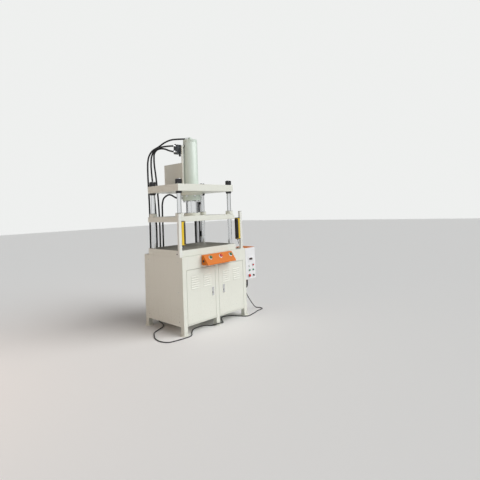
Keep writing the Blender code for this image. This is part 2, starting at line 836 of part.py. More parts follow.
def make_door(name, x_low, x_high, axis, latch_x):
    """A door: a folded pan with pivot pins, louvres and the frame of its flush latch."""
    low = (x_low, 0.0, DOOR_BASE)
    high = (x_high, DOOR_DEPTH, DOOR_TOP)
    bm = bmesh.new()
    add_box(bm, low, high)
    door = part(name, bm, "cream_paint", origin=(axis[0], axis[1], DOOR_BASE))
    hollow = bmesh.new()
    add_box(
        hollow,
        (x_low + DOOR_SHEET, DOOR_SHEET, DOOR_BASE + DOOR_SHEET),
        (x_high - DOOR_SHEET, DOOR_DEPTH + OVERCUT, DOOR_TOP - DOOR_SHEET),
    )
    cut(door, tool(name + "_hollow", hollow))
    blocks = bmesh.new()
    half = PIVOT_BLOCK / 2 - 0.001
    for z_low, z_high in (
        (DOOR_BASE + 0.0005, DOOR_BASE + PIVOT_BLOCK),
        (DOOR_TOP - PIVOT_BLOCK, DOOR_TOP - 0.0005),
    ):
        add_box(blocks, (axis[0] - half, axis[1] - half, z_low), (axis[0] + half, axis[1] + half, z_high))
    join(door, tool(name + "_blocks", blocks))
    pins = bmesh.new()
    for start, end in (
        (DOOR_BASE - PIVOT_REACH, DOOR_BASE + PIVOT_BLOCK / 2),
        (DOOR_TOP - PIVOT_BLOCK / 2, DOOR_TOP + PIVOT_REACH),
    ):
        add_round(pins, (*axis, start), (*axis, end), PIVOT_RADIUS, SMALL_SIDES)
    join(door, tool(name + "_pins", pins))
    make_louvres(door, (x_low + x_high) / 2)
    make_latch(door, latch_x)
    return door


def make_latch(door, x):
    """The latch's rim on the door and the paddle that swings out of it."""
    low_x, high_x = x - LATCH_WIDTH / 2, x + LATCH_WIDTH / 2
    top = LATCH_BASE + LATCH_HEIGHT
    rim = bmesh.new()
    add_box(rim, (low_x, -LATCH_PROUD, LATCH_BASE), (high_x, DOOR_DEPTH - 0.004, top))
    join(door, tool(door.name + "_latch_rim", rim))
    well = bmesh.new()
    add_box(
        well,
        (low_x + LATCH_RIM, -LATCH_PROUD - OVERCUT, LATCH_BASE + LATCH_RIM),
        (high_x - LATCH_RIM, DOOR_DEPTH - 0.007, top - LATCH_RIM),
    )
    cut(door, tool(door.name + "_latch_well", well))
    pin_z = top - LATCH_RIM - 0.004
    pin_y = -LATCH_PROUD + PADDLE_THICKNESS / 2
    holes = bmesh.new()
    reach = LATCH_RIM * 0.6
    add_round(
        holes,
        (low_x + LATCH_RIM - reach - FIT, pin_y, pin_z),
        (high_x - LATCH_RIM + reach + FIT, pin_y, pin_z),
        LATCH_PIN_RADIUS + FIT,
        SMALL_SIDES,
    )
    cut(door, tool(door.name + "_latch_holes", holes))
    paddle = bmesh.new()
    side = LATCH_RIM + 2 * FIT
    add_box(
        paddle,
        (low_x + side, -LATCH_PROUD, LATCH_BASE + side + 0.0004),
        (high_x - side, -LATCH_PROUD + PADDLE_THICKNESS, top - side - 0.0008),
    )
    side_name = door.name.split("_")[0]
    latch = part(side_name + "_door_latch", paddle, "chrome", origin=(x, pin_y, pin_z))
    pin = bmesh.new()
    add_round(
        pin,
        (low_x + LATCH_RIM - reach, pin_y, pin_z),
        (high_x - LATCH_RIM + reach, pin_y, pin_z),
        LATCH_PIN_RADIUS,
        SMALL_SIDES,
    )
    join(latch, tool(side_name + "_latch_pin", pin))
    key = bmesh.new()
    key_z = LATCH_BASE + KEY_HEIGHT
    face = -LATCH_PROUD
    add_round(key, (x, face + 0.001, key_z), (x, face - KEY_PROUD, key_z), KEY_RADIUS, SMALL_SIDES)
    join(latch, tool(side_name + "_key_barrel", key))
    slot = bmesh.new()
    half, reach = KEY_SLOT_WIDTH / 2, KEY_SLOT_LENGTH / 2
    add_box(slot, (x - half, face - OVERCUT, key_z - reach), (x + half, face + 0.001, key_z + reach))
    cut(latch, tool(side_name + "_key_slot", slot))


def make_doors():
    """Both doors, hung at the cabinet's outer edges."""
    (left_start, width), (right_start, _) = bay_spans()
    left_axis, right_axis = door_axes()
    make_door(
        "left_door",
        left_start + DOOR_GAP,
        left_start + width - DOOR_GAP,
        left_axis,
        LEFT_LATCH_X,
    )
    make_door(
        "right_door",
        right_start + DOOR_GAP,
        right_start + width - DOOR_GAP,
        right_axis,
        RIGHT_LATCH_X,
    )


def make_power_unit():
    """Oil tank on the tray, with the motor and pump standing on it, and the valve block beside."""
    floor = TRAY_TOP + FIT
    tank_top = floor + TANK_FOOT + TANK_HEIGHT
    tank = box_part(
        "oil_tank",
        (TANK_X, TANK_Y, floor + TANK_FOOT),
        (TANK_X + TANK_LENGTH, TANK_Y + TANK_WIDTH, tank_top),
        "tank_paint",
        bevel=0.006,
    )
    skids = bmesh.new()
    for x in (TANK_X + SKID_INSET, TANK_X + TANK_LENGTH - SKID_INSET - SKID_WIDTH):
        high = (x + SKID_WIDTH, TANK_Y + TANK_WIDTH - OVERCUT, floor + TANK_FOOT + OVERCUT)
        add_box(skids, (x, TANK_Y + OVERCUT, floor), high)
    join(tank, tool("tank_skids", skids))
    middle_y = TANK_Y + TANK_WIDTH / 2
    motor_x = TANK_X + TANK_LENGTH / 2
    base = tank_top + FIT
    turned(
        "hydraulic_pump",
        (
            (0.0, BELL_LENGTH),
            (BELL_DIAMETER / 2, BELL_LENGTH),
            (BELL_DIAMETER / 2, 0.0),
            (PUMP_DIAMETER / 2, 0.0),
            (PUMP_DIAMETER / 2, -PUMP_LENGTH),
            (0.0, -PUMP_LENGTH),
        ),
        "grey_iron",
        (motor_x, middle_y, base),
    )
    hole = bmesh.new()
    add_round(
        hole,
        (motor_x, middle_y, tank_top - PUMP_LENGTH - OVERCUT),
        (motor_x, middle_y, tank_top + OVERCUT),
        PUMP_DIAMETER / 2 + STEM_FIT,
        SIDES,
    )
    cut(tank, tool("pump_well", hole))
    motor_base = base + BELL_LENGTH + FIT
    radius = MOTOR_DIAMETER / 2
    motor = turned(
        "electric_motor",
        (
            (0.0, MOTOR_LENGTH),
            (radius - MOTOR_DOME[0], MOTOR_LENGTH),
            (radius, MOTOR_LENGTH - MOTOR_DOME[1]),
            (radius, MOTOR_FLANGE_THICKNESS),
            (MOTOR_FLANGE / 2, MOTOR_FLANGE_THICKNESS),
            (MOTOR_FLANGE / 2, 0.0),
            (0.0, 0.0),
        ),
        "motor_paint",
        (motor_x, middle_y, motor_base),
        sides=2 * MOTOR_FINS,
    )
    grooves = bmesh.new()
    for fin in range(MOTOR_FINS):
        angle = math.tau * fin / MOTOR_FINS
        out = Vector((math.cos(angle), math.sin(angle), 0.0))
        across = Vector((-math.sin(angle), math.cos(angle), 0.0))
        low = motor_base + MOTOR_FLANGE_THICKNESS + MOTOR_FIN_INSETS[0]
        high = motor_base + MOTOR_LENGTH - MOTOR_FIN_INSETS[1]
        middle = Vector((motor_x, middle_y, (low + high) / 2)) + out * radius
        turn = Matrix((out, across, Vector((0.0, 0.0, 1.0)))).transposed().to_4x4()
        groove = math.pi * radius / MOTOR_FINS * MOTOR_GROOVE_SHARE
        size = Matrix.Diagonal((2 * MOTOR_FIN_DEPTH, groove, high - low, 1.0))
        bmesh.ops.create_cube(grooves, size=1.0, matrix=Matrix.Translation(middle) @ turn @ size)
    cut(motor, tool("motor_grooves", grooves))
    terminal = bmesh.new()
    width, depth, height = TERMINAL_BOX
    back = middle_y - radius + TERMINAL_SINK
    add_box(
        terminal,
        (motor_x - width / 2, back - depth, motor_base + TERMINAL_RISE),
        (motor_x + width / 2, back, motor_base + TERMINAL_RISE + height),
    )
    join(motor, tool("motor_terminal_box", terminal))
    make_valve_block(floor)


def make_valve_block(floor):
    """The manifold with its two solenoid valves, standing on the tray right of the tank."""
    length, width, height = MANIFOLD_SIZE
    low = Vector((MANIFOLD_X, TANK_Y + MANIFOLD_SETBACK, floor))
    block = box_part(
        "valve_block", low, low + Vector((length, width, height)), "black_oxide", bevel=0.002
    )
    coils = bmesh.new()
    for number in range(SOLENOIDS):
        x = low.x + length * (number + 0.5) / SOLENOIDS
        z = low.z + height + SOLENOID_RISE
        add_box(
            coils,
            (x - VALVE_BODY_HALF, low.y + VALVE_BODY_INSET, low.z + height - 0.002),
            (x + VALVE_BODY_HALF, low.y + width - VALVE_BODY_INSET, z + VALVE_BODY_HALF),
        )
        add_round(
            coils,
            (x, low.y + VALVE_BODY_INSET + 0.002, z),
            (x, low.y - SOLENOID_LENGTH, z),
            SOLENOID_DIAMETER / 2,
            SMALL_SIDES,
        )
    join(block, tool("solenoid_valves", coils))


def make_table():
    """The thick table plate, with a blind bore for the foot of each column."""
    table = box_part(
        "table",
        (0.0, TABLE_SETBACK, TABLE_BASE),
        (TABLE_LENGTH, TABLE_BACK, TABLE_TOP),
        "cream_paint",
        bevel=PLATE_BEVEL,
    )
    bores = bmesh.new()
    for x, y in COLUMN_PLACES.values():
        add_round(
            bores,
            (x, y, TABLE_BASE + BORE_FLOOR),
            (x, y, TABLE_TOP + OVERCUT),
            COLUMN_DIAMETER / 2 + FIT,
            SIDES,
        )
    cut(table, tool("table_bores", bores))
    return table


def make_columns():
    """The four columns with their lock nuts, and the hexagon nuts on the crown."""
    radius = COLUMN_DIAMETER / 2
    chamfer = COLUMN_CHAMFER
    foot = TABLE_BASE + BORE_FLOOR + FIT
    nut_base = CROWN_TOP + FIT
    top = nut_base + CROWN_NUT_HEIGHT + COLUMN_STANDOUT
    lock_top = CROWN_BASE - FIT
    lock_base = lock_top - LOCK_NUT_HEIGHT
    profile = (
        (0.0, top),
        (radius - chamfer, top),
        (radius, top - chamfer),
        (radius, lock_top),
        (LOCK_NUT_DIAMETER / 2, lock_top),
        (LOCK_NUT_DIAMETER / 2, lock_base + LOCK_NUT_TAPER),
        (LOCK_NUT_NECK / 2, lock_base),
        (radius, lock_base),
        (radius, foot + chamfer),
        (radius - chamfer, foot),
        (0.0, foot),
    )
    for place, (x, y) in COLUMN_PLACES.items():
        turned(f"column_{place}", profile, "chrome", (x, y, 0.0))
        nut = bmesh.new()
        add_round(
            nut,
            (x, y, nut_base),
            (x, y, nut_base + CROWN_NUT_HEIGHT),
            CROWN_NUT_FLATS / math.sqrt(3),
            6,
        )
        nut_object = part(f"crown_nut_{place}", nut, "black_oxide", origin=(x, y, nut_base))
        bore = bmesh.new()
        add_round(
            bore,
            (x, y, nut_base - OVERCUT),
            (x, y, nut_base + CROWN_NUT_HEIGHT + OVERCUT),
            radius + FIT,
            SIDES,
        )
        cut(nut_object, tool(f"nut_bore_{place}", bore))


def plate_bores(name, low, high, radius):
    """A hidden body with one round bore at each column."""
    bores = bmesh.new()
    for x, y in COLUMN_PLACES.values():
        add_round(bores, (x, y, low - OVERCUT), (x, y, high + OVERCUT), radius, SIDES)
    return tool(name, bores)


def make_crown():
    """The crown plate, bored for the columns and the cylinder."""
    crown = box_part(
        "crown",
        (CROWN_LEFT, CROWN_SETBACK, CROWN_BASE),
        (CROWN_LEFT + CROWN_LENGTH, CROWN_SETBACK + CROWN_DEPTH, CROWN_TOP),
        "cream_paint",
        bevel=PLATE_BEVEL,
    )
    cut(crown, plate_bores("crown_bores", CROWN_BASE, CROWN_TOP, COLUMN_DIAMETER / 2 + FIT))
    bore = bmesh.new()
    add_round(
        bore,
        (AXIS_X, AXIS_Y, CROWN_BASE - OVERCUT),
        (AXIS_X, AXIS_Y, CROWN_TOP + OVERCUT),
        BARREL_DIAMETER / 2 + FIT,
        WIDE_SIDES,
    )
    cut(crown, tool("cylinder_bore", bore))
    return crown


def make_cylinder():
    """Barrel, clamp flange and head of the cylinder, each turned about the press's axis."""
    outer = BARREL_DIAMETER / 2
    bore = BARREL_BORE / 2
    boss = PORT_BOSS_DIAMETER / 2
    barrel_base = HEAD_TOP + FIT
    turned(
        "cylinder_barrel",
        (
            (0.0, BARREL_TOP + PORT_BOSS_HEIGHT),
            (boss, BARREL_TOP + PORT_BOSS_HEIGHT),
            (boss, BARREL_TOP),
            (outer - BARREL_CHAMFER, BARREL_TOP),
            (outer, BARREL_TOP - BARREL_CHAMFER),
            (outer, barrel_base),
            (bore, barrel_base),
            (bore, BARREL_TOP - BARREL_CAP),
            (0.0, BARREL_TOP - BARREL_CAP),
        ),
        "mint_paint",
        (AXIS_X, AXIS_Y, 0.0),
        sides=WIDE_SIDES,
    )
    turned(
        "clamp_flange",
        (
            (CLAMP_DIAMETER / 2, CLAMP_BASE + CLAMP_THICKNESS),
            (CLAMP_DIAMETER / 2, CLAMP_BASE + HEAD_CHAMFER),
            (CLAMP_DIAMETER / 2 - HEAD_CHAMFER, CLAMP_BASE),
            (outer + FIT, CLAMP_BASE),
            (outer + FIT, CLAMP_BASE + CLAMP_THICKNESS),
        ),
        "cream_paint",
        (AXIS_X, AXIS_Y, 0.0),
        sides=WIDE_SIDES,
    )
    rod_hole = RAM_DIAMETER / 2 + FIT
    turned(
        "cylinder_head",
        (
            (bore - FIT, HEAD_TOP + HEAD_SPIGOT),
            (bore - FIT, HEAD_TOP),
            (HEAD_DIAMETER / 2, HEAD_TOP),
            (HEAD_DIAMETER / 2, HEAD_BASE + HEAD_CHAMFER),
            (HEAD_DIAMETER / 2 - HEAD_CHAMFER, HEAD_BASE),
            (rod_hole, HEAD_BASE),
            (rod_hole, HEAD_TOP + HEAD_SPIGOT),
        ),
        "mint_paint",
        (AXIS_X, AXIS_Y, 0.0),
        sides=WIDE_SIDES,
    )


def make_ram():
    """The ram with its piston and foot collar, and the flange that holds it to the slide."""
    rod = RAM_DIAMETER / 2
    collar = RAM_COLLAR_DIAMETER / 2
    piston = BARREL_BORE / 2 - FIT
    foot = SLIDE_TOP + FIT
    collar_top = foot + RAM_COLLAR_HEIGHT
    turned(
        "ram",
        (
            (0.0, PISTON_TOP),
            (piston, PISTON_TOP),
            (piston, PISTON_TOP - PISTON_LENGTH),
            (rod, PISTON_TOP - PISTON_LENGTH),
            (rod, collar_top),
            (collar, collar_top),
            (collar, foot),
            (0.0, foot),
        ),
        "chrome",
        (AXIS_X, AXIS_Y, 0.0),
        sides=WIDE_SIDES,
    )
    outer = RAM_FLANGE_DIAMETER / 2
    top = foot + RAM_FLANGE_THICKNESS
    turned(
        "ram_flange",
        (
            (outer - RAM_FLANGE_CHAMFER, top),
            (outer, top - RAM_FLANGE_CHAMFER),
            (outer, foot),
            (collar + FIT, foot),
            (collar + FIT, collar_top + FIT),
            (rod + FIT, collar_top + FIT),
            (rod + FIT, top),
        ),
        "cream_paint",
        (AXIS_X, AXIS_Y, 0.0),
        sides=WIDE_SIDES,
    )


def make_slide():
    """The slide plate with the four flanged bushes that guide it on the columns."""
    slide = box_part(
        "slide",
        (SLIDE_LEFT, SLIDE_FRONT, SLIDE_BASE),
        (SLIDE_LEFT + SLIDE_LENGTH, SLIDE_FRONT + SLIDE_DEPTH, SLIDE_TOP),
        "cream_paint",
        bevel=PLATE_BEVEL,
    )
    flanges = bmesh.new()
    radius = BUSH_FLANGE_DIAMETER / 2
    shoulder = SLIDE_TOP + BUSH_FLANGE_HEIGHT - BUSH_CHAMFER
    for x, y in COLUMN_PLACES.values():
        add_round(flanges, (x, y, SLIDE_TOP - OVERCUT), (x, y, shoulder), radius, SIDES)
    join(slide, tool("bush_flanges", flanges))
    tops = bmesh.new()
    for x, y in COLUMN_PLACES.values():
        add_round(
            tops,
            (x, y, shoulder - OVERCUT),
            (x, y, shoulder + BUSH_CHAMFER),
            radius - BUSH_CHAMFER,
            SIDES,
        )
    join(slide, tool("bush_tops", tops))
    bush_top = SLIDE_TOP + BUSH_FLANGE_HEIGHT
    cut(slide, plate_bores("guide_bores", SLIDE_BASE, bush_top, COLUMN_DIAMETER / 2 + FIT))
    return slide


def make_oil_supply():
    """Header tank behind the barrel, the suction pipe, and the fill valve on the pipe's stub."""
    box_part(
        "header_tank",
        (HEADER_X, HEADER_Y, HEADER_BASE),
        (HEADER_X + HEADER_WIDTH, HEADER_Y + HEADER_LENGTH, HEADER_TOP),
        "tank_paint",
        bevel=HEADER_BEVEL,
    )
    high = Vector((VALVE_X + VALVE_WIDTH, VALVE_Y + VALVE_LENGTH, VALVE_BASE + VALVE_HEIGHT))
    valve = box_part(
        "fill_valve", (VALVE_X, VALVE_Y, VALVE_BASE), high, "grey_iron", bevel=0.002
    )
    fittings = bmesh.new()
    add_round(
        fittings,
        (SUCTION_X, SUCTION_Y + SUCTION_DIAMETER / 2 + FIT, VALVE_BASE + VALVE_STUB_HEIGHT),
        (SUCTION_X, VALVE_Y + OVERCUT, VALVE_BASE + VALVE_STUB_HEIGHT),
        VALVE_STUB_DIAMETER / 2,
        SMALL_SIDES,
    )
    add_round(
        fittings,
        (KNOB_X, KNOB_Y, high.z - OVERCUT),
        (KNOB_X, KNOB_Y, high.z + KNOB_HEIGHT),
        KNOB_DIAMETER / 2,
        SMALL_SIDES,
    )
    coil_x = high.x - VALVE_COIL_DIAMETER / 2 - VALVE_COIL_INSET
    coil_y = VALVE_Y + VALVE_COIL_DIAMETER / 2 + VALVE_COIL_INSET
    add_round(
        fittings,
        (coil_x, coil_y, VALVE_BASE - VALVE_COIL_DROP),
        (coil_x, coil_y, VALVE_BASE + OVERCUT),
        VALVE_COIL_DIAMETER / 2,
        SMALL_SIDES,
    )
    join(valve, tool("valve_fittings", fittings))
    to_axis = Vector((AXIS_X - SUCTION_X, AXIS_Y - SUCTION_Y, 0.0))
    toward = to_axis.normalized()
    port = Vector((AXIS_X, AXIS_Y, SUCTION_HEIGHT)) - toward * (BARREL_DIAMETER / 2 + FIT)
    corner = Vector((SUCTION_X, SUCTION_Y, SUCTION_HEIGHT))
    up = Vector((0.0, 0.0, 1.0))
    bend = [
        corner
        - up * SUCTION_BEND * (1 - math.sin(angle))
        + toward * SUCTION_BEND * (1 - math.cos(angle))
        for angle in (math.radians(15 * step) for step in range(7))
    ]
    tube(
        "suction_pipe",
        [(SUCTION_X, SUCTION_Y, CROWN_TOP + FIT), *bend, port],
        SUCTION_DIAMETER,
        "cream_paint",
        count=12,
        ferrule=0.006,
        resolution=3,
    )


def make_hoses():
    """The four hoses, from the cylinder and the fill valve down behind the press to the deck."""
    valve_side = VALVE_X - FIT
    landing = CABINET_HEIGHT + FIT
    hose_way = Vector((-math.cos(PORT_HOSE_ANGLE), math.sin(PORT_HOSE_ANGLE), 0.0))
    boss_side = Vector((AXIS_X, AXIS_Y, BARREL_TOP + PORT_HOSE_RISE))
    boss_side += hose_way * (PORT_BOSS_DIAMETER / 2 + FIT)
    port_way = Vector((-math.cos(HEAD_PORT_ANGLE), math.sin(HEAD_PORT_ANGLE), 0.0))
    head_middle = Vector((AXIS_X, AXIS_Y, HEAD_BASE + HEAD_THICKNESS / 2))
    head_port = head_middle + port_way * (HEAD_DIAMETER / 2 + FIT)
    routes = {
        "cylinder_hose": (
            boss_side,
            boss_side + hose_way * PORT_HOSE_STUB,
            (0.365, 0.433, 2.328),
            (0.330, 0.468, 2.327),
            (0.300, 0.496, 2.324),
            (0.270, 0.520, 2.315),
            (0.210, 0.550, 2.283),
            (0.149, 0.600, 2.227),
            (0.090, 0.650, 2.178),
            (0.060, 0.680, 2.114),
            (0.045, HOSE_Y, 2.034),
            (0.041, HOSE_Y, 1.960),
            (0.041, HOSE_Y, 1.860),
            (0.046, HOSE_Y, 1.700),
            (0.052, HOSE_Y, 1.500),
            (0.054, HOSE_Y, 1.200),
            (0.054, HOSE_Y, 0.960),
            (0.054, HOSE_Y, landing),
        ),
        "upper_valve_hose": (
            (valve_side, 0.450, 2.232),
            (valve_side - 0.040, 0.450, 2.232),
            (0.200, 0.482, 2.226),
            (0.137, 0.520, 2.214),
            (0.086, 0.580, 2.184),
            (0.074, 0.640, 2.113),
            (0.083, 0.675, 2.010),
            (0.096, HOSE_Y, 1.914),
            (0.108, HOSE_Y, 1.780),
            (0.128, HOSE_Y, 1.600),
            (0.145, HOSE_Y, 1.350),
            (0.150, HOSE_Y, 1.000),
            (0.150, HOSE_Y, landing),
        ),
        "lower_valve_hose": (
            (valve_side, 0.445, 2.160),
            (valve_side - 0.036, 0.445, 2.160),
            (0.217, 0.470, 2.171),
            (0.175, 0.500, 2.191),
            (0.140, 0.540, 2.197),
            (0.115, 0.580, 2.186),
            (0.104, 0.625, 2.146),
            (0.119, 0.660, 2.080),
            (0.143, HOSE_Y, 1.990),
            (0.155, HOSE_Y, 1.902),
            (0.172, HOSE_Y, 1.740),
            (0.190, HOSE_Y, 1.500),
            (0.200, HOSE_Y, 1.200),
            (0.200, HOSE_Y, landing),
        ),
        "head_hose": (
            head_port,
            head_port + port_way * 0.036,
            (0.285, 0.440, 1.572),
            (0.262, 0.500, 1.606),
            (0.268, 0.560, 1.617),
            (0.266, 0.620, 1.606),
            (0.254, 0.662, 1.575),
            (0.246, 0.684, 1.510),
            (0.246, HOSE_Y, 1.400),
            (0.248, HOSE_Y, 1.150),
            (0.248, HOSE_Y, landing),
        ),
    }
    for name, route in routes.items():
        tube(name, route, HOSE_DIAMETER, "black_rubber", HOSE_POINTS, FERRULE_LENGTH)


def make_limit_rail():
    """The stroke limit rail behind the table: aluminium strip, switch channel and conduit."""
    foot = CABINET_HEIGHT + FIT
    strip = box_part(
        "limit_rail",
        (RAIL_X, RAIL_Y - RAIL_THICKNESS, foot),
        (RAIL_X + RAIL_WIDTH, RAIL_Y, CROWN_BASE + 0.020),
        "aluminium",
    )
    shoe = bmesh.new()
    add_box(shoe, (RAIL_X, RAIL_Y - 0.028, foot), (RAIL_X + RAIL_WIDTH, RAIL_Y - 0.002, foot + 0.005))
    join(strip, tool("rail_shoe", shoe))
    bracket = bmesh.new()
    crown_back = CROWN_SETBACK + CROWN_DEPTH + FIT
    add_box(
        bracket,
        (RAIL_X + 0.004, crown_back, CROWN_BASE + 0.004),
        (RAIL_X + RAIL_WIDTH - 0.004, RAIL_Y - RAIL_THICKNESS / 2, CROWN_BASE + 0.016),
    )
    join(strip, tool("rail_bracket", bracket))
    make_switch_channel(foot)
    radius = RAIL_CONDUIT_DIAMETER / 2
    conduit = bmesh.new()
    y = RAIL_Y - RAIL_CONDUIT_SETBACK
    add_round(
        conduit,
        (RAIL_CONDUIT_X, y, foot),
        (RAIL_CONDUIT_X, y, CROWN_BASE - 0.030),
        radius,
        SMALL_SIDES,
    )
    part("rail_conduit", conduit, "black_plastic", origin=(RAIL_CONDUIT_X, y, foot))
    cam_y = SLIDE_FRONT + SLIDE_DEPTH + FIT
    cam_x = RAIL_X + RAIL_WIDTH + CHANNEL_GAP + CHANNEL_WIDTH / 2
    cam_z = SLIDE_BASE + SLIDE_THICKNESS / 2
    cam = box_part(
        "trip_cam",
        (cam_x - CAM_WIDTH / 2, cam_y, cam_z - CAM_HEIGHT / 2),
        (cam_x + CAM_WIDTH / 2, cam_y + CAM_THICKNESS, cam_z + CAM_HEIGHT / 2),
        "black_oxide",
    )
    soften(cam, 0.003)


def make_switch_channel(foot):
    """The slotted channel beside the strip, carrying both limit switches with their rollers."""
    x_low = RAIL_X + RAIL_WIDTH + CHANNEL_GAP
    x_high = x_low + CHANNEL_WIDTH
    front = RAIL_Y - CHANNEL_DEPTH + 0.012
    channel = box_part(
        "switch_channel",
        (x_low, front, foot),
        (x_high, front + CHANNEL_DEPTH, CHANNEL_TOP),
        "black_oxide",
    )
    hollow = bmesh.new()
    add_box(
        hollow,
        (x_low + CHANNEL_SHEET, front + CHANNEL_SHEET, foot - OVERCUT),
        (x_high - CHANNEL_SHEET, front + CHANNEL_DEPTH + OVERCUT, CHANNEL_TOP + OVERCUT),
    )
    cut(channel, tool("channel_hollow", hollow))
    slot = bmesh.new()
    middle = (x_low + x_high) / 2
    add_box(
        slot,
        (middle - 0.005, front - OVERCUT, foot + 0.035),
        (middle + 0.005, front + CHANNEL_SHEET + 0.002, CHANNEL_TOP - 0.035),
    )
    cut(channel, tool("channel_slot", slot))
    width, depth, height = SWITCH_SIZE
    bodies = bmesh.new()
    rollers = bmesh.new()
    for z in SWITCH_HEIGHTS:
        x = middle + 0.004
        add_box(
            bodies,
            (x - width / 2, front - depth + SWITCH_INSET, z),
            (x + width / 2, front + SWITCH_INSET, z + height),
        )
        add_round(
            rollers,
            (x - width / 2 + 0.004, front - SWITCH_ROLLER_REACH, z - SWITCH_ROLLER * 0.6),
            (x - width / 2 + 0.010, front - SWITCH_ROLLER_REACH, z - SWITCH_ROLLER * 0.6),
            SWITCH_ROLLER,
            SMALL_SIDES,
        )
    join(channel, tool("switch_bodies", bodies))
    join(channel, tool("switch_rollers", rollers))


def gusset(name, corner, reach, height, x_sign):
    """A hidden triangular plate that stiffens a post's foot, standing in the XZ plane."""
    place = tilted(corner, (x_sign, 0.0, 0.0), (0.0, 0.0, 1.0))
    outline = ((-0.004, -0.004), (reach, -0.004), (reach, 0.002), (0.0, height), (-0.004, height))
    return outline_part(name, outline, GUSSET_THICKNESS, None, place, TOOLS)


def make_posts():
    """The two posts that carry the light curtain, each welded to its foot plate."""
    left_high_x = LEFT_POST_X + POST_WIDTH
    left = box_part(
        "left_post",
        (LEFT_POST_X, LEFT_POST_Y, LEFT_PLATE_BASE - 0.002),
        (left_high_x, LEFT_POST_Y + POST_DEPTH, POST_TOP),
        "white_plastic",
        bevel=POST_BEVEL,
    )
    plate = bmesh.new()
    add_box(
        plate,
        (-FIT - LEFT_PLATE_THICKNESS, LEFT_POST_Y + 2 * POST_BEVEL, LEFT_PLATE_BASE),
        (-FIT, LEFT_POST_Y + LEFT_PLATE_LENGTH, LEFT_PLATE_BASE + LEFT_PLATE_HEIGHT),
    )
    join(left, tool("left_foot_plate", plate))
    post_middle = LEFT_POST_Y + POST_DEPTH / 2 - 0.006
    join(
        left,
        gusset(
            "left_gusset",
            (left_high_x, post_middle, TABLE_TOP - 0.045),
            GUSSET_REACH,
            GUSSET_HEIGHT,
            1,
        ),
    )
    base = CABINET_HEIGHT + FIT
    width, depth, thickness = RIGHT_PLATE_SIZE
    right = box_part(
        "right_post",
        (RIGHT_POST_X, 0.0, base + thickness / 2),
        (RIGHT_POST_X + POST_WIDTH, POST_DEPTH, POST_TOP),
        "white_plastic",
        bevel=POST_BEVEL,
    )
    foot = bmesh.new()
    add_box(
        foot,
        (RIGHT_POST_X - 0.010, 0.0005, base),
        (RIGHT_POST_X - 0.010 + width, depth, base + thickness),
    )
    join(right, tool("right_foot_plate", foot))


def make_curtain(name, inner_x, front, side):
    """A light-curtain head beside a post, its window facing across the table.

    Args:
        name: the object's name.
        inner_x: the X of its post's inner side.
        front: the Y of the head's front face.
        side: +1 if the window faces +X, -1 if it faces -X.
    """
    near = inner_x + side * FIT
    face = near + side * HEAD_UNIT_WIDTH
    back = front + HEAD_UNIT_DEPTH
    top = HEAD_UNIT_BASE + HEAD_UNIT_HEIGHT
    head = box_part(
        name,
        (min(near, face), front, HEAD_UNIT_BASE),
        (max(near, face), back, top),
        "yellow_plastic",
        bevel=HEAD_UNIT_BEVEL,
    )
    window = bmesh.new()
    ends = (face - side * HEAD_UNIT_WINDOW_DEPTH, face + side * 0.01)
    middle = (front + back) / 2
    half = HEAD_UNIT_WINDOW / 2
    add_box(
        window,
        (min(ends), middle - half, HEAD_UNIT_BASE + HEAD_UNIT_CAP),
        (max(ends), middle + half, top - HEAD_UNIT_CAP),
    )
    cut(head, tool(name + "_window", window))
    return head


def slope_frame():
    """The middle of the two-hand box's slanted face, its way down and its outward normal."""
    top = Vector((0.0, -HAND_BOX_SHELF, HAND_BOX_TOP))
    foot = Vector((0.0, -HAND_BOX_REACH, HAND_BOX_LIP))
    down = (foot - top).normalized()
    normal = Vector((1.0, 0.0, 0.0)).cross(down)
    if normal.y > 0.0:
        normal = -normal
    return (top + foot) / 2, down, normal


def mushroom_profile(travel, stem):
    """A mushroom button's profile above and below the face that it stands on."""
    radius = MUSHROOM_DIAMETER / 2
    neck = MUSHROOM_NECK / 2
    base = BEZEL_HEIGHT + travel + BUTTON_GAP
    top = base + MUSHROOM_CROWN
    return (
        (0.0, top),
        (0.45 * radius, top - 0.06 * MUSHROOM_CROWN),
        (0.80 * radius, top - 0.28 * MUSHROOM_CROWN),
        (radius, top - 0.62 * MUSHROOM_CROWN),
        (radius, base),
        (neck, base),
        (STEM_DIAMETER / 2, base - 0.001),
        (STEM_DIAMETER / 2, -stem),
        (0.0, -stem),
    )


def bezel_profile(outer, hole, height):
    """A raised ring's profile, rooted a little under the face."""
    return (
        (outer - 0.001, height),
        (outer, height - 0.001),
        (outer, -0.002),
        (hole, -0.002),
        (hole, height),
    )


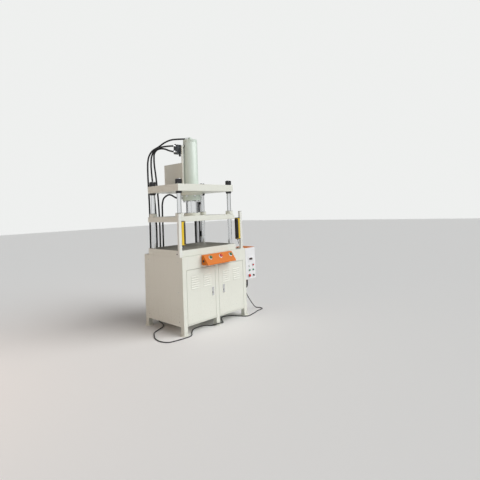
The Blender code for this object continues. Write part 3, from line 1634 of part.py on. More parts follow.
def make_hand_box():
    """The two-hand box under the table's front edge, with its mushrooms."""
    outline = (
        (-FIT, HAND_BOX_BASE),
        (-FIT, HAND_BOX_TOP),
        (-HAND_BOX_SHELF, HAND_BOX_TOP),
        (-HAND_BOX_REACH, HAND_BOX_LIP),
        (-HAND_BOX_REACH, HAND_BOX_BASE),
    )
    middle_x = HAND_BOX_X + HAND_BOX_LENGTH / 2
    place = tilted((middle_x, 0.0, 0.0), (0.0, 1.0, 0.0), (0.0, 0.0, 1.0))
    box = outline_part("two_hand_box", outline, HAND_BOX_LENGTH, "orange_paint", place)
    soften(box, HAND_BOX_BEVEL)
    face, down, normal = slope_frame()
    centre = Vector((middle_x + HAND_BUTTON_SHIFT, 0.0, 0.0)) + face - down * HAND_BUTTON_SLIDE
    buttons = {
        "left_run_button": (-1, "green_plastic", RUN_TRAVEL),
        "two_hand_stop": (0, "red_plastic", STOP_TRAVEL),
        "right_run_button": (1, "green_plastic", RUN_TRAVEL),
    }
    holes = bmesh.new()
    for name, (step, colour, travel) in buttons.items():
        at = centre + Vector((step * HAND_BUTTON_SPREAD, 0.0, 0.0))
        bezel = turned(
            name + "_bezel",
            bezel_profile(BEZEL_DIAMETER / 2, STEM_DIAMETER / 2 + 0.002, BEZEL_HEIGHT),
            None,
            at,
            SMALL_SIDES,
            TOOLS,
            normal,
        )
        join(box, bezel)
        depth = MUSHROOM_STEM + travel + BUTTON_GAP
        add_round(
            holes,
            at - normal * depth,
            at + normal * (BEZEL_HEIGHT + OVERCUT),
            STEM_DIAMETER / 2 + STEM_FIT,
            SMALL_SIDES,
        )
        turned(name, mushroom_profile(travel, MUSHROOM_STEM), colour, at, SIDES, None, normal)
    cut(box, tool("hand_box_stem_holes", holes))
    blank = bmesh.new()
    add_round(
        blank,
        (HAND_BOX_X - OVERCUT, PLUG_HOLE_Y, PLUG_HOLE_Z),
        (HAND_BOX_X + PLUG_HOLE_DEPTH, PLUG_HOLE_Y, PLUG_HOLE_Z),
        PLUG_HOLE_DIAMETER / 2,
        SMALL_SIDES,
    )
    cut(box, tool("hand_box_side_hole", blank))
    return box


def make_control_box():
    """The control box on the cabinet's right side: body, front panel and its buttons."""
    panel_y = PANEL_FRONT
    body_y = panel_y + CONTROL_PANEL_THICKNESS + FIT
    body = box_part(
        "control_box",
        (CONTROL_LEFT, body_y, CONTROL_BASE),
        (CONTROL_LEFT + CONTROL_WIDTH, body_y + CONTROL_DEPTH, CONTROL_TOP),
        "orange_paint",
        bevel=CONTROL_BEVEL,
    )
    margin = CONTROL_PANEL_MARGIN
    panel = box_part(
        "control_panel",
        (CONTROL_LEFT + margin / 2, panel_y, CONTROL_BASE + margin / 2),
        (CONTROL_LEFT + CONTROL_WIDTH - margin / 2, panel_y + CONTROL_PANEL_THICKNESS, CONTROL_TOP - margin / 2),
        "white_plastic",
        bevel=0.001,
    )
    screen = bmesh.new()
    add_box(
        screen,
        (DISPLAY_X - DISPLAY_WIDTH / 2, panel_y - OVERCUT, DISPLAY_Z - DISPLAY_HEIGHT / 2),
        (DISPLAY_X + DISPLAY_WIDTH / 2, panel_y + DISPLAY_RECESS, DISPLAY_Z + DISPLAY_HEIGHT / 2),
    )
    cut(panel, tool("display_recess", screen))
    outward = Vector((0.0, -1.0, 0.0))
    holes = bmesh.new()
    stem_hole = SMALL_STEM / 2 + STEM_FIT
    places = {**PANEL_BUTTONS, "selector_knob": SELECTOR}
    for name, (x, z) in places.items():
        at = Vector((x, panel_y, z))
        bezel = turned(
            name + "_bezel",
            bezel_profile(SMALL_BEZEL_DIAMETER / 2, stem_hole + 0.001, SMALL_BEZEL_HEIGHT),
            None,
            at,
            SMALL_SIDES,
            TOOLS,
            outward,
        )
        join(panel, bezel)
        add_round(
            holes,
            at + outward * 0.01,
            at - outward * (CONTROL_PANEL_THICKNESS + 0.016),
            stem_hole,
            SMALL_SIDES,
        )
    at = Vector((PANEL_STOP[0], panel_y, PANEL_STOP[1]))
    join(
        panel,
        turned(
            "panel_stop_bezel",
            bezel_profile(BEZEL_DIAMETER / 2, STEM_DIAMETER / 2 + 0.002, BEZEL_HEIGHT),
            None,
            at,
            SMALL_SIDES,
            TOOLS,
            outward,
        ),
    )
    add_round(
        holes,
        at + outward * 0.01,
        at - outward * (MUSHROOM_STEM + STOP_TRAVEL + BUTTON_GAP),
        STEM_DIAMETER / 2 + STEM_FIT,
        SMALL_SIDES,
    )
    hole_tool = tool("panel_stem_holes", holes)
    cut(panel, hole_tool)
    cut(body, hole_tool)
    turned(
        "panel_stop",
        mushroom_profile(STOP_TRAVEL, MUSHROOM_STEM),
        "red_plastic",
        at,
        SIDES,
        None,
        outward,
    )
    make_panel_buttons(panel_y, outward)
    return body


def make_panel_buttons(panel_y, outward):
    """The flat push buttons and the selector knob."""
    colours = {
        "white_button": "white_plastic",
        "red_button": "red_plastic",
        "left_green_button": "green_plastic",
        "right_green_button": "green_plastic",
    }
    radius = SMALL_BUTTON_DIAMETER / 2
    base = SMALL_BEZEL_HEIGHT + SMALL_BUTTON_TRAVEL + BUTTON_GAP
    top = base + SMALL_BUTTON_HEIGHT
    stem = CONTROL_PANEL_THICKNESS + 0.012 - SMALL_BUTTON_TRAVEL
    profile = (
        (0.0, top),
        (radius - 0.0015, top),
        (radius, top - 0.0015),
        (radius, base),
        (SMALL_STEM / 2, base),
        (SMALL_STEM / 2, -stem),
        (0.0, -stem),
    )
    for name, (x, z) in PANEL_BUTTONS.items():
        at = Vector((x, panel_y, z))
        turned(name, profile, colours[name], at, SMALL_SIDES, None, outward)
    knob_base = SMALL_BEZEL_HEIGHT + FIT
    knob_top = knob_base + 0.005
    at = Vector((SELECTOR[0], panel_y, SELECTOR[1]))
    knob = turned(
        "selector_knob",
        (
            (0.0, knob_top),
            (radius, knob_top),
            (radius, knob_base),
            (SMALL_STEM / 2, knob_base),
            (SMALL_STEM / 2, -stem),
            (0.0, -stem),
        ),
        "black_plastic",
        at,
        SMALL_SIDES,
        None,
        outward,
    )
    grip = bmesh.new()
    face = panel_y - knob_top
    add_box(
        grip,
        (at.x - SELECTOR_GRIP_WIDTH / 2, face - SELECTOR_GRIP_HEIGHT, at.z - SELECTOR_GRIP_LENGTH / 2),
        (at.x + SELECTOR_GRIP_WIDTH / 2, face + 0.001, at.z + SELECTOR_GRIP_LENGTH / 2),
    )
    join(knob, tool("selector_grip", grip))


def make_conduit():
    """The flexible conduit that loops from under the control box into the cabinet's side."""
    top = CONTROL_BASE - FIT
    side = CABINET_WIDTH + FIT
    bend = CONDUIT_SIDE_REACH - CONDUIT_STUB
    middle_x, y, z = side + CONDUIT_STUB, LEG_SIZE / 2, top - CONDUIT_DROP
    arc = [
        (middle_x + bend * math.cos(angle), y, z + bend * (1 - math.sin(angle)))
        for angle in (math.radians(15 * step) for step in range(1, 7))
    ]
    straight = [(side + CONDUIT_SIDE_REACH, y, height) for height in (top, z + bend + 0.004)]
    tube(
        "cable_conduit",
        [*straight, *arc, (side, y, z)],
        CONDUIT_DIAMETER,
        "black_rubber",
        count=10,
    )


def cord_route():
    """The supply cord's chosen points: down from the gland, over the floor and round the feet."""
    floor = CORD_DIAMETER / 2 + CORD_LIFT
    on_foot = FOOT_THICKNESS + floor
    coil_side = COIL_X - COIL_OUTER_RADIUS - FIT - CORD_DIAMETER / 2
    return (
        (GLAND_X, GLAND_Y, gland_end() - FIT),
        (GLAND_X + 0.002, GLAND_Y, 0.350),
        (1.205, 0.130, 0.230),
        (1.262, 0.130, 0.145),
        (1.318, 0.128, 0.073),
        (1.368, 0.121, 0.020),
        (1.405, 0.102, floor),
        (1.418, 0.065, floor),
        (1.398, 0.030, floor),
        (1.350, 0.012, floor),
        (1.287, 0.010, floor),
        (1.140, -0.035, floor),
        (1.004, -0.048, floor),
        (0.944, 0.037, floor),
        (0.885, 0.150, floor),
        (0.785, 0.190, floor),
        (0.690, 0.110, floor),
        (0.612, 0.010, floor + 0.001),
        (0.560, -0.012, on_foot + 0.006),
        (0.518, -0.014, on_foot + 0.008),
        (0.478, 0.000, on_foot + 0.002),
        (0.457, 0.045, floor),
        (0.412, 0.110, floor),
        (0.341, 0.130, floor),
        (0.240, 0.122, floor),
        (0.140, 0.040, floor),
        (0.060, -0.042, floor),
        (-0.040, -0.046, floor),
        (-0.135, -0.034, floor),
        (-0.222, -0.004, floor),
        (-0.257, 0.079, floor),
        (-0.248, 0.184, floor),
        (-0.188, 0.308, floor),
        (-0.118, 0.400, floor),
        (-0.030, 0.444, floor),
        (0.058, 0.490, floor),
        (0.112, 0.550, floor),
        (0.150, 0.635, floor),
        (0.172, 0.715, floor),
        (0.200, 0.780, floor),
        (coil_side - 0.004, COIL_Y - 0.042, floor),
        (coil_side, COIL_Y - 0.020, floor),
        (coil_side, COIL_Y, floor),
    )


def gland_end():
    """The lower end of the supply cord's gland."""
    return CONTROL_BASE - FIT - GLAND_NUT - GLAND_TAIL


def make_supply_cord():
    """Gland, cord, coil of the unseen length and plug."""
    nut_low = CONTROL_BASE - FIT - GLAND_NUT
    turned(
        "cord_gland",
        (
            (0.0, CONTROL_BASE - FIT),
            (GLAND_DIAMETER / 2, CONTROL_BASE - FIT),
            (GLAND_DIAMETER / 2, nut_low),
            (GLAND_DIAMETER * 0.38, nut_low),
            (CORD_DIAMETER / 2 + 0.0015, gland_end()),
            (0.0, gland_end()),
        ),
        "black_plastic",
        (GLAND_X, GLAND_Y, 0.0),
        SMALL_SIDES,
    )
    tube("supply_cord", cord_route(), CORD_DIAMETER, "black_rubber", CORD_POINTS)
    outer, inner, edge = COIL_OUTER_RADIUS, COIL_INNER_RADIUS, COIL_CHAMFER
    ring = (
        (outer - edge, COIL_HEIGHT),
        (outer, COIL_HEIGHT - edge),
        (outer, edge),
        (outer - edge, 0.0),
        (inner + edge, 0.0),
        (inner, edge),
        (inner, COIL_HEIGHT - edge),
        (inner + edge, COIL_HEIGHT),
    )
    turned("cord_coil", ring, "black_rubber", (COIL_X, COIL_Y, CORD_LIFT), SIDES)
    make_plug()


def make_plug():
    """The industrial plug, lying against the coil with its pins to the right."""
    radius = PLUG_DIAMETER / 2
    start = Vector((COIL_X + COIL_OUTER_RADIUS + FIT, COIL_Y, radius + CORD_LIFT))
    plug = turned(
        "plug",
        (
            (0.0, PLUG_LENGTH),
            (radius, PLUG_LENGTH),
            (radius, PLUG_TAIL + 0.02),
            (radius * 0.8, PLUG_TAIL),
            (CORD_DIAMETER / 2 + 0.002, 0.0),
            (0.0, 0.0),
        ),
        "black_plastic",
        start,
        SMALL_SIDES,
        None,
        (1.0, 0.0, 0.0),
    )
    pins = bmesh.new()
    for pin in range(PINS):
        angle = math.tau * (pin + 0.5) / PINS
        side = Vector((0.0, math.cos(angle), math.sin(angle))) * PIN_CIRCLE / 2
        root = start + Vector((PLUG_LENGTH - 0.004, 0.0, 0.0)) + side
        add_round(pins, root, root + Vector((PIN_LENGTH + 0.004, 0.0, 0.0)), PIN_DIAMETER / 2, 8)
    join(plug, tool("plug_pins", pins))


def extent(objects):
    """The low and high corners of the objects as they are evaluated."""
    graph = bpy.context.evaluated_depsgraph_get()
    low, high = np.full(3, np.inf), np.full(3, -np.inf)
    for obj in objects:
        evaluated = obj.evaluated_get(graph)
        mesh = evaluated.to_mesh()
        points = np.empty(3 * len(mesh.vertices))
        mesh.vertices.foreach_get("co", points)
        world = np.array(evaluated.matrix_world)
        points = points.reshape(-1, 3) @ world[:3, :3].T + world[:3, 3]
        low, high = np.minimum(low, points.min(axis=0)), np.maximum(high, points.max(axis=0))
        evaluated.to_mesh_clear()
    return low, high


def stand_on_origin():
    """Hangs every piece on one empty and moves that so that the press stands round the origin."""
    root = bpy.data.objects.new("hydraulic_press", None)
    PARTS.objects.link(root)
    bpy.context.view_layer.update()
    loose = {"supply_cord", "cord_coil", "plug", "cord_gland"}
    low, high = extent([obj for obj in PARTS.objects if obj is not root and obj.name not in loose])
    for obj in (*PARTS.objects, *TOOLS.objects):
        if obj is not root:
            obj.parent = root
    root.location = (-(low[0] + high[0]) / 2, -(low[1] + high[1]) / 2, -low[2])


clear_scene()
PARTS = new_collection("hydraulic_press")
TOOLS = new_collection("cutters")
make_cabinet_frame()
make_panels()
make_doors()
make_power_unit()
make_table()
make_columns()
make_crown()
make_cylinder()
make_ram()
make_slide()
make_oil_supply()
make_hoses()
make_limit_rail()
make_posts()
make_curtain("left_light_curtain", LEFT_POST_X + POST_WIDTH, LEFT_HEAD_Y, 1)
make_curtain("right_light_curtain", RIGHT_POST_X, RIGHT_HEAD_Y, -1)
make_hand_box()
make_control_box()
make_conduit()
make_supply_cord()
stand_on_origin()
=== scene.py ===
"""Dresses a four-column hydraulic press: finishes, turned parts, fasteners, hoses, cord and studio.

Places are in metres. Most are given from the cabinet's front left corner on the floor, with X to the
right along the doors, Y to the back and Z up, and spot() turns them into the model's own frame.
A profile is a row of (radius, height) stations that is turned round the line of its height.
"""

from __future__ import annotations

import logging
import math
from dataclasses import dataclass
from enum import Enum
from typing import Iterable, Sequence

import bmesh
import bpy
from mathutils import Matrix, Vector


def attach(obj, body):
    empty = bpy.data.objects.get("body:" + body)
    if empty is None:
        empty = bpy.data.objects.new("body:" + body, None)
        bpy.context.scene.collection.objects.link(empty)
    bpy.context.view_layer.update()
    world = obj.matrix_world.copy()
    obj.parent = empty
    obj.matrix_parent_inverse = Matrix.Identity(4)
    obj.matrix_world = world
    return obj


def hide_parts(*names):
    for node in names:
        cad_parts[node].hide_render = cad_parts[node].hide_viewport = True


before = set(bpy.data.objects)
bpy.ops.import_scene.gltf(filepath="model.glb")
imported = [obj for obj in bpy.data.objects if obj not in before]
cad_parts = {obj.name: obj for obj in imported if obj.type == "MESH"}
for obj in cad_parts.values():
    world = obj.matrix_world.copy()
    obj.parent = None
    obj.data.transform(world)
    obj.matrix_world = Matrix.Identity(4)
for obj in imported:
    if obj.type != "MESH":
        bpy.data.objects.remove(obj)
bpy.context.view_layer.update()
LOG = logging.getLogger("press")

Point = Sequence[float]
Colour = tuple[float, float, float]
Profile = Sequence[tuple[float, float]]
Places = list[tuple[Vector, Vector]]
Piece = bpy.types.Object
Socket = bpy.types.NodeSocket

CORNER = Vector((-0.60865, -0.3485, 0.0))
UP = Vector((0.0, 0.0, 1.0))
DOWN = -UP
FRONT = Vector((0.0, -1.0, 0.0))
BACK = -FRONT
LEFT = Vector((-1.0, 0.0, 0.0))
RIGHT = Vector((1.0, 0.0, 0.0))

AXIS = (0.45295, 0.3375)
CABINET_WIDTH = 1.058
CABINET_DEPTH = 0.750
DECK = 0.8803
SLIDE_TOP = 1.340
SKIN = 0.0003

SPECULAR = 0.35
COAT_ROUGHNESS = 0.12
ROUGHNESS_SWING = 0.16
SOIL_ROUGHNESS = 0.35
BUMP_DEPTH = 0.0006

# Each noise has its cells per metre, its detail and its roughness.
BROAD_NOISE = (3.1, 3.0, 0.5)
FINE_NOISE = (46.0, 7.0, 0.66)
RUN_NOISE = (1.0, 4.0, 0.6)
WIDE_NOISE = (24.0, 4.0, 0.6)
GRAIN_DETAIL = (2.0, 0.5)
RUN_STRETCH = (38.0, 38.0, 1.6)
DRAWN_STRETCH = 0.02
SOILED_HEIGHT = 0.40
SOIL_ABOVE = 0.18
PATCH_RANGE = (0.50, 0.78)
DRIP_RANGE = (0.56, 0.80)


def spot(x: float, y: float, z: float) -> Vector:
    """Moves a place given from the cabinet's front left floor corner into the model's frame."""
    return CORNER + Vector((x, y, z))


def grid(xs: Sequence[float], ys: Sequence[float], zs: Sequence[float], along: Vector) -> Places:
    """Pairs every place of a grid with one direction."""
    return [(spot(x, y, z), along) for x in xs for y in ys for z in zs]


def around(middle: Vector, radius: float, count: int, along: Vector, first: float) -> Places:
    """Spaces places evenly round a level circle.

    Args:
        middle: the circle's middle.
        radius: its radius.
        count: how many places.
        along: the direction given to each.
        first: the first place's angle in degrees.

    Returns:
        (place, direction) pairs.
    """
    turns = (math.radians(first + 360.0 * step / count) for step in range(count))
    return [(middle + Vector((math.cos(turn), math.sin(turn), 0.0)) * radius, along) for turn in turns]


def along_route(points: Sequence[Point], spacing: float) -> list[Vector]:
    """Places close points on the smooth curve through a route.

    Args:
        points: the route's own points.
        spacing: the distance between the close points.

    Returns:
        The close points, the route's two ends among them, none lower than the route's lowest.
    """
    route = [Vector(point) for point in points]
    lengths = [(end - start).length for start, end in zip(route, route[1:])]
    slopes = [(end - start) / length for start, end, length in zip(route, route[1:], lengths)]
    tangents = [slopes[0]]
    for before, after, back, ahead in zip(slopes, slopes[1:], lengths, lengths[1:]):
        tangents.append((before * ahead + after * back) / (back + ahead))
    tangents.append(slopes[-1])
    found: list[Vector] = []
    for start, end, length, leaving, arriving in zip(route, route[1:], lengths, tangents, tangents[1:]):
        steps = max(2, round(length / spacing))
        for step in range(steps):
            t = step / steps
            found.append(
                (1 + 2 * t) * (1 - t) ** 2 * start
                + t * (1 - t) ** 2 * length * leaving
                + t * t * (3 - 2 * t) * end
                - t * t * (1 - t) * length * arriving
            )
    lowest = min(point.z for point in route)
    return [Vector((point.x, point.y, max(point.z, lowest))) for point in (*found, route[-1])]


class Body(str, Enum):
    """The bodies that pieces ride on."""

    PRESS = "press"
    SLIDE = "slide"
    LEFT_DOOR = "left_door"
    RIGHT_DOOR = "right_door"
    LEFT_LATCH = "left_latch"
    RIGHT_LATCH = "right_latch"
    LEFT_RUN = "left_run_button"
    RIGHT_RUN = "right_run_button"
    HAND_STOP = "two_hand_stop"
    WHITE = "white_button"
    RED = "red_button"
    LEFT_GREEN = "left_green_button"
    RIGHT_GREEN = "right_green_button"
    PANEL_STOP = "panel_stop"
    SELECTOR = "selector"


@dataclass(frozen=True)
class Finish:
    """One surface finish.

    Attributes:
        name: the material's name.
        slot: the record's material slot; not used by this script.
        colour: linear base colour.
        roughness: mean roughness.
        metallic: metallic value.
        coat: clear coat weight.
        grain: bump cells per metre.
        relief: bump strength.
        mottle: how far the colour wanders.
        grime: how much dirt lies low and in patches.
        streak: how much runs down the surface.
        soil: the dirt's colour.
        drawn: whether the grain runs along Z, as on ground bars.
    """

    name: str
    slot: str
    colour: Colour
    roughness: float
    metallic: float = 0.0
    coat: float = 0.0
    grain: float = 700.0
    relief: float = 0.12
    mottle: float = 0.05
    grime: float = 0.25
    streak: float = 0.06
    soil: Colour = (0.20, 0.17, 0.12)
    drawn: bool = False


CREAM = Finish("cream_enamel", "cream_paint", (0.755, 0.765, 0.690), 0.36, coat=0.20, grain=420.0)
MINT = Finish("mint_enamel", "mint_paint", (0.690, 0.775, 0.700), 0.30, coat=0.25, grain=380.0, relief=0.06)
ORANGE = Finish("orange_enamel", "orange_paint", (0.670, 0.168, 0.003), 0.50, grain=950.0, relief=0.25)
OIL_TANK = Finish("tank_enamel", "tank_paint", (0.720, 0.735, 0.665), 0.42, grain=420.0, streak=0.12)
MOTOR_BLUE = Finish("motor_enamel", "motor_paint", (0.085, 0.180, 0.300), 0.42, grain=500.0, relief=0.2)
CHROME = Finish(
    "hard_chrome", "chrome", (0.83, 0.84, 0.85), 0.12, metallic=1.0, grain=260.0, relief=0.02, mottle=0.03,
    grime=0.06, streak=0.05, drawn=True,
)
BRIGHT = Finish(
    "bright_plating", "chrome", (0.78, 0.79, 0.80), 0.20, metallic=1.0, grain=900.0, relief=0.03, mottle=0.04,
    grime=0.1,
)
STEEL = Finish(
    "ground_steel", "chrome", (0.56, 0.56, 0.55), 0.34, metallic=1.0, relief=0.06, mottle=0.08, grime=0.15,
    drawn=True,
)
BLACKED = Finish(
    "blacked_steel", "black_oxide", (0.045, 0.045, 0.048), 0.38, metallic=0.7, grain=900.0, relief=0.08,
    mottle=0.2, grime=0.2, soil=(0.16, 0.13, 0.10),
)
IRON = Finish(
    "valve_iron", "grey_iron", (0.105, 0.115, 0.130), 0.46, metallic=0.4, grain=650.0, relief=0.35,
    mottle=0.15,
)
ALUMINIUM = Finish(
    "extruded_aluminium", "aluminium", (0.70, 0.71, 0.72), 0.30, metallic=1.0, grain=500.0, relief=0.04,
    grime=0.1, drawn=True,
)
BLACK_PLASTIC = Finish(
    "black_plastic", "black_plastic", (0.022, 0.022, 0.024), 0.42, grain=1500.0, mottle=0.1, grime=0.12,
    soil=(0.18, 0.17, 0.15),
)
RUBBER = Finish(
    "black_rubber", "black_rubber", (0.016, 0.016, 0.018), 0.52, grain=1800.0, relief=0.2, mottle=0.15,
    grime=0.22, soil=(0.14, 0.13, 0.11),
)
# Ground steel for the table top, coloured much darker than ground steel to paint in the shade that falls on
# the table.
SHADED_TABLE_STEEL = Finish(
    "ground_table_painted_shade", "grey_iron", (0.250, 0.240, 0.205), 0.48, metallic=0.3, grain=800.0, relief=0.05,
    mottle=0.12, grime=0.2,
)
YELLOW = Finish("yellow_enamel", "yellow_plastic", (0.800, 0.540, 0.020), 0.34, coat=0.2, grain=600.0)
WHITE = Finish("post_enamel", "white_plastic", (0.770, 0.780, 0.730), 0.34, coat=0.2, grain=420.0)
PANEL_WHITE = Finish(
    "panel_white", "grey_plastic", (0.800, 0.805, 0.815), 0.40, grain=1200.0, relief=0.08, mottle=0.02,
    grime=0.08,
)
GREEN = Finish("green_cap", "green_plastic", (0.010, 0.260, 0.120), 0.26, coat=0.3, grain=1200.0, relief=0.04)
RUN_GREEN = Finish(
    "run_cap", "green_plastic", (0.045, 0.150, 0.050), 0.30, coat=0.2, grain=1200.0, relief=0.04
)
RED = Finish("red_cap", "red_plastic", (0.560, 0.016, 0.014), 0.26, coat=0.3, grain=1200.0, relief=0.04)
LAMP_WHITE = Finish("lamp_cap", "grey_plastic", (0.80, 0.84, 0.82), 0.22, coat=0.3, grain=1200.0, relief=0.03)
GLASS_DARK = Finish(
    "dark_window", "black_plastic", (0.030, 0.012, 0.010), 0.10, coat=0.6, grain=300.0, relief=0.01,
    grime=0.05,
)
BRASS = Finish("brass", "aluminium", (0.62, 0.44, 0.16), 0.28, metallic=1.0, grain=900.0, relief=0.04)


class Wiring:
    """Adds nodes to one tree and links them."""

    def __init__(self, tree: bpy.types.NodeTree) -> None:
        """Takes the tree."""
        self.tree = tree

    @classmethod
    def group(cls, name: str, takes: dict[str, object], gives: dict[str, str]) -> Wiring:
        """Starts a node group.

        Args:
            name: the group's name.
            takes: each input's default, a colour or a number, by the input's name.
            gives: each output's kind, Color or Float, by the output's name.

        Returns:
            The new group's wiring.
        """
        tree = bpy.data.node_groups.new(name, "ShaderNodeTree")
        for label, value in takes.items():
            kind = "NodeSocketColor" if isinstance(value, tuple) else "NodeSocketFloat"
            tree.interface.new_socket(name=label, in_out="INPUT", socket_type=kind).default_value = value
        for label, kind in gives.items():
            tree.interface.new_socket(name=label, in_out="OUTPUT", socket_type=f"NodeSocket{kind}")
        return cls(tree)

    def feed(self, node: bpy.types.Node, feeds: dict[str | int, object]) -> bpy.types.Node:
        """Links or sets inputs of a node.

        Args:
            node: the node.
            feeds: a socket, number or colour for each input's name or number.

        Returns:
            The same node.
        """
        for name, value in feeds.items():
            if isinstance(value, Socket):
                self.tree.links.new(value, node.inputs[name])
            else:
                node.inputs[name].default_value = value
        return node

    def add(self, kind: str, feeds: dict[str | int, object] | None = None) -> bpy.types.Node:
        """Adds a node of a kind and feeds its inputs."""
        return self.feed(self.tree.nodes.new(kind), feeds or {})

    def use(self, group: bpy.types.NodeTree, feeds: dict[str | int, object]) -> bpy.types.Node:
        """Adds a group's node.

        Args:
            group: the group.
            feeds: what feed() takes.

        Returns:
            The node.
        """
        node = self.add("ShaderNodeGroup")
        node.node_tree = group
        return self.feed(node, feeds)

    def maths(self, operation: str, *values: object) -> Socket:
        """Adds a Math node.

        Args:
            operation: what it works out.
            values: the sockets or numbers that it takes.

        Returns:
            Its result.
        """
        node = self.add("ShaderNodeMath")
        node.operation = operation
        return self.feed(node, dict(enumerate(values))).outputs[0]

    def noise(self, vector: Socket, scale: float | Socket, detail: float, rough: float) -> Socket:
        """Adds a noise texture of a scale in cells per metre and gives its value."""
        feeds = {"Vector": vector, "Scale": scale, "Detail": detail, "Roughness": rough}
        return self.add("ShaderNodeTexNoise", feeds).outputs["Fac"]

    def spread(self, value: Socket, low: float, high: float, start: float, end: float) -> Socket:
        """Adds a clamped Map Range from low and high to start and end, and gives its result."""
        feeds = {"Value": value, "From Min": low, "From Max": high, "To Min": start, "To Max": end}
        return self.add("ShaderNodeMapRange", feeds).outputs[0]


class Palette:
    """Makes each finish's material once."""

    def __init__(self) -> None:
        """Builds the two groups that all finishes share."""
        self.weathering = self._make_weathering()
        self.grain = self._make_grain()
        self.made: dict[str, bpy.types.Material] = {}

    @staticmethod
    def _make_weathering() -> bpy.types.NodeTree:
        """Builds the group that mottles a colour and soils it, low down, in patches and in streaks.

        Returns:
            The node group, with Colour and Soil as its outputs.
        """
        takes = {
            "Colour": (0.8, 0.8, 0.8, 1.0),
            "Soil Colour": (0.2, 0.17, 0.12, 1.0),
            "Mottle": 0.05,
            "Grime": 0.25,
            "Streak": 0.05,
        }
        wiring = Wiring.group("weathering", takes, {"Colour": "Color", "Soil": "Float"})
        given = wiring.add("NodeGroupInput").outputs
        place = wiring.add("ShaderNodeTexCoord").outputs["Object"]
        height = wiring.add("ShaderNodeSeparateXYZ", {0: place}).outputs["Z"]
        broad = wiring.noise(place, *BROAD_NOISE)
        fine = wiring.noise(place, *FINE_NOISE)
        stretch = wiring.add("ShaderNodeMapping", {"Vector": place, "Scale": RUN_STRETCH})
        runs = wiring.noise(stretch.outputs["Vector"], *RUN_NOISE)
        value = wiring.maths("MULTIPLY_ADD", wiring.maths("SUBTRACT", broad, 0.5), given["Mottle"], 1.0)
        shade = wiring.add("ShaderNodeHueSaturation", {"Color": given["Colour"], "Value": value})
        low = wiring.spread(height, 0.0, SOILED_HEIGHT, 1.0, SOIL_ABOVE)
        patches = wiring.spread(fine, *PATCH_RANGE, 0.0, 1.0)
        dirt = wiring.maths("MULTIPLY", wiring.maths("MULTIPLY", low, patches), given["Grime"])
        drips = wiring.spread(runs, *DRIP_RANGE, 0.0, 1.0)
        soil = wiring.maths("ADD", dirt, wiring.maths("MULTIPLY", drips, given["Streak"]))
        soil.node.use_clamp = True
        mix = wiring.add("ShaderNodeMix")
        mix.data_type = "RGBA"
        clean, soiled = (number for number, socket in enumerate(mix.inputs) if socket.type == "RGBA")
        wiring.feed(mix, {"Factor": soil, clean: shade.outputs["Color"], soiled: given["Soil Colour"]})
        mixed = next(socket for socket in mix.outputs if socket.type == "RGBA")
        wiring.add("NodeGroupOutput", {"Colour": mixed, "Soil": soil})
        return wiring.tree

    @staticmethod
    def _make_grain() -> bpy.types.NodeTree:
        """Builds the group that gives a finish its fine relief.

        Returns:
            The node group, with Height and Spread as its outputs.
        """
        takes, gives = {"Cells": 700.0, "Drawn": 0.0}, {"Height": "Float", "Spread": "Float"}
        wiring = Wiring.group("grain", takes, gives)
        given = wiring.add("NodeGroupInput").outputs
        place = wiring.add("ShaderNodeTexCoord").outputs["Object"]
        split = wiring.add("ShaderNodeSeparateXYZ", {0: place}).outputs
        squeeze = wiring.spread(given["Drawn"], 0.0, 1.0, 1.0, DRAWN_STRETCH)
        height = wiring.maths("MULTIPLY", split["Z"], squeeze)
        join = wiring.add("ShaderNodeCombineXYZ", {"X": split["X"], "Y": split["Y"], "Z": height})
        fine = wiring.noise(join.outputs["Vector"], given["Cells"], *GRAIN_DETAIL)
        wide = wiring.noise(join.outputs["Vector"], *WIDE_NOISE)
        wiring.add("NodeGroupOutput", {"Height": fine, "Spread": wide})
        return wiring.tree

    def material(self, finish: Finish) -> bpy.types.Material:
        """Gives the finish's material.

        Args:
            finish: the finish.

        Returns:
            The material, made on its first use.
        """
        if finish.name in self.made:
            return self.made[finish.name]
        material = bpy.data.materials.new(finish.name)
        material.use_nodes = True
        wiring = Wiring(material.node_tree)
        weather = wiring.use(
            self.weathering,
            {
                "Colour": (*finish.colour, 1.0),
                "Soil Colour": (*finish.soil, 1.0),
                "Mottle": finish.mottle,
                "Grime": finish.grime,
                "Streak": finish.streak,
            },
        )
        grain = wiring.use(self.grain, {"Cells": finish.grain, "Drawn": float(finish.drawn)})
        least = finish.roughness - ROUGHNESS_SWING / 2
        rough = wiring.maths("MULTIPLY_ADD", grain.outputs["Spread"], ROUGHNESS_SWING, least)
        rough = wiring.maths("MULTIPLY_ADD", weather.outputs["Soil"], SOIL_ROUGHNESS, rough)
        feeds = {"Strength": finish.relief, "Distance": BUMP_DEPTH, "Height": grain.outputs["Height"]}
        bump = wiring.add("ShaderNodeBump", feeds)
        wiring.feed(
            material.node_tree.nodes["Principled BSDF"],
            {
                "Base Color": weather.outputs["Colour"],
                "Metallic": finish.metallic,
                "Roughness": rough,
                "Normal": bump.outputs["Normal"],
                "Specular IOR Level": SPECULAR,
                "Coat Weight": finish.coat,
                "Coat Roughness": COAT_ROUGHNESS,
            },
        )
        self.made[finish.name] = material
        return material


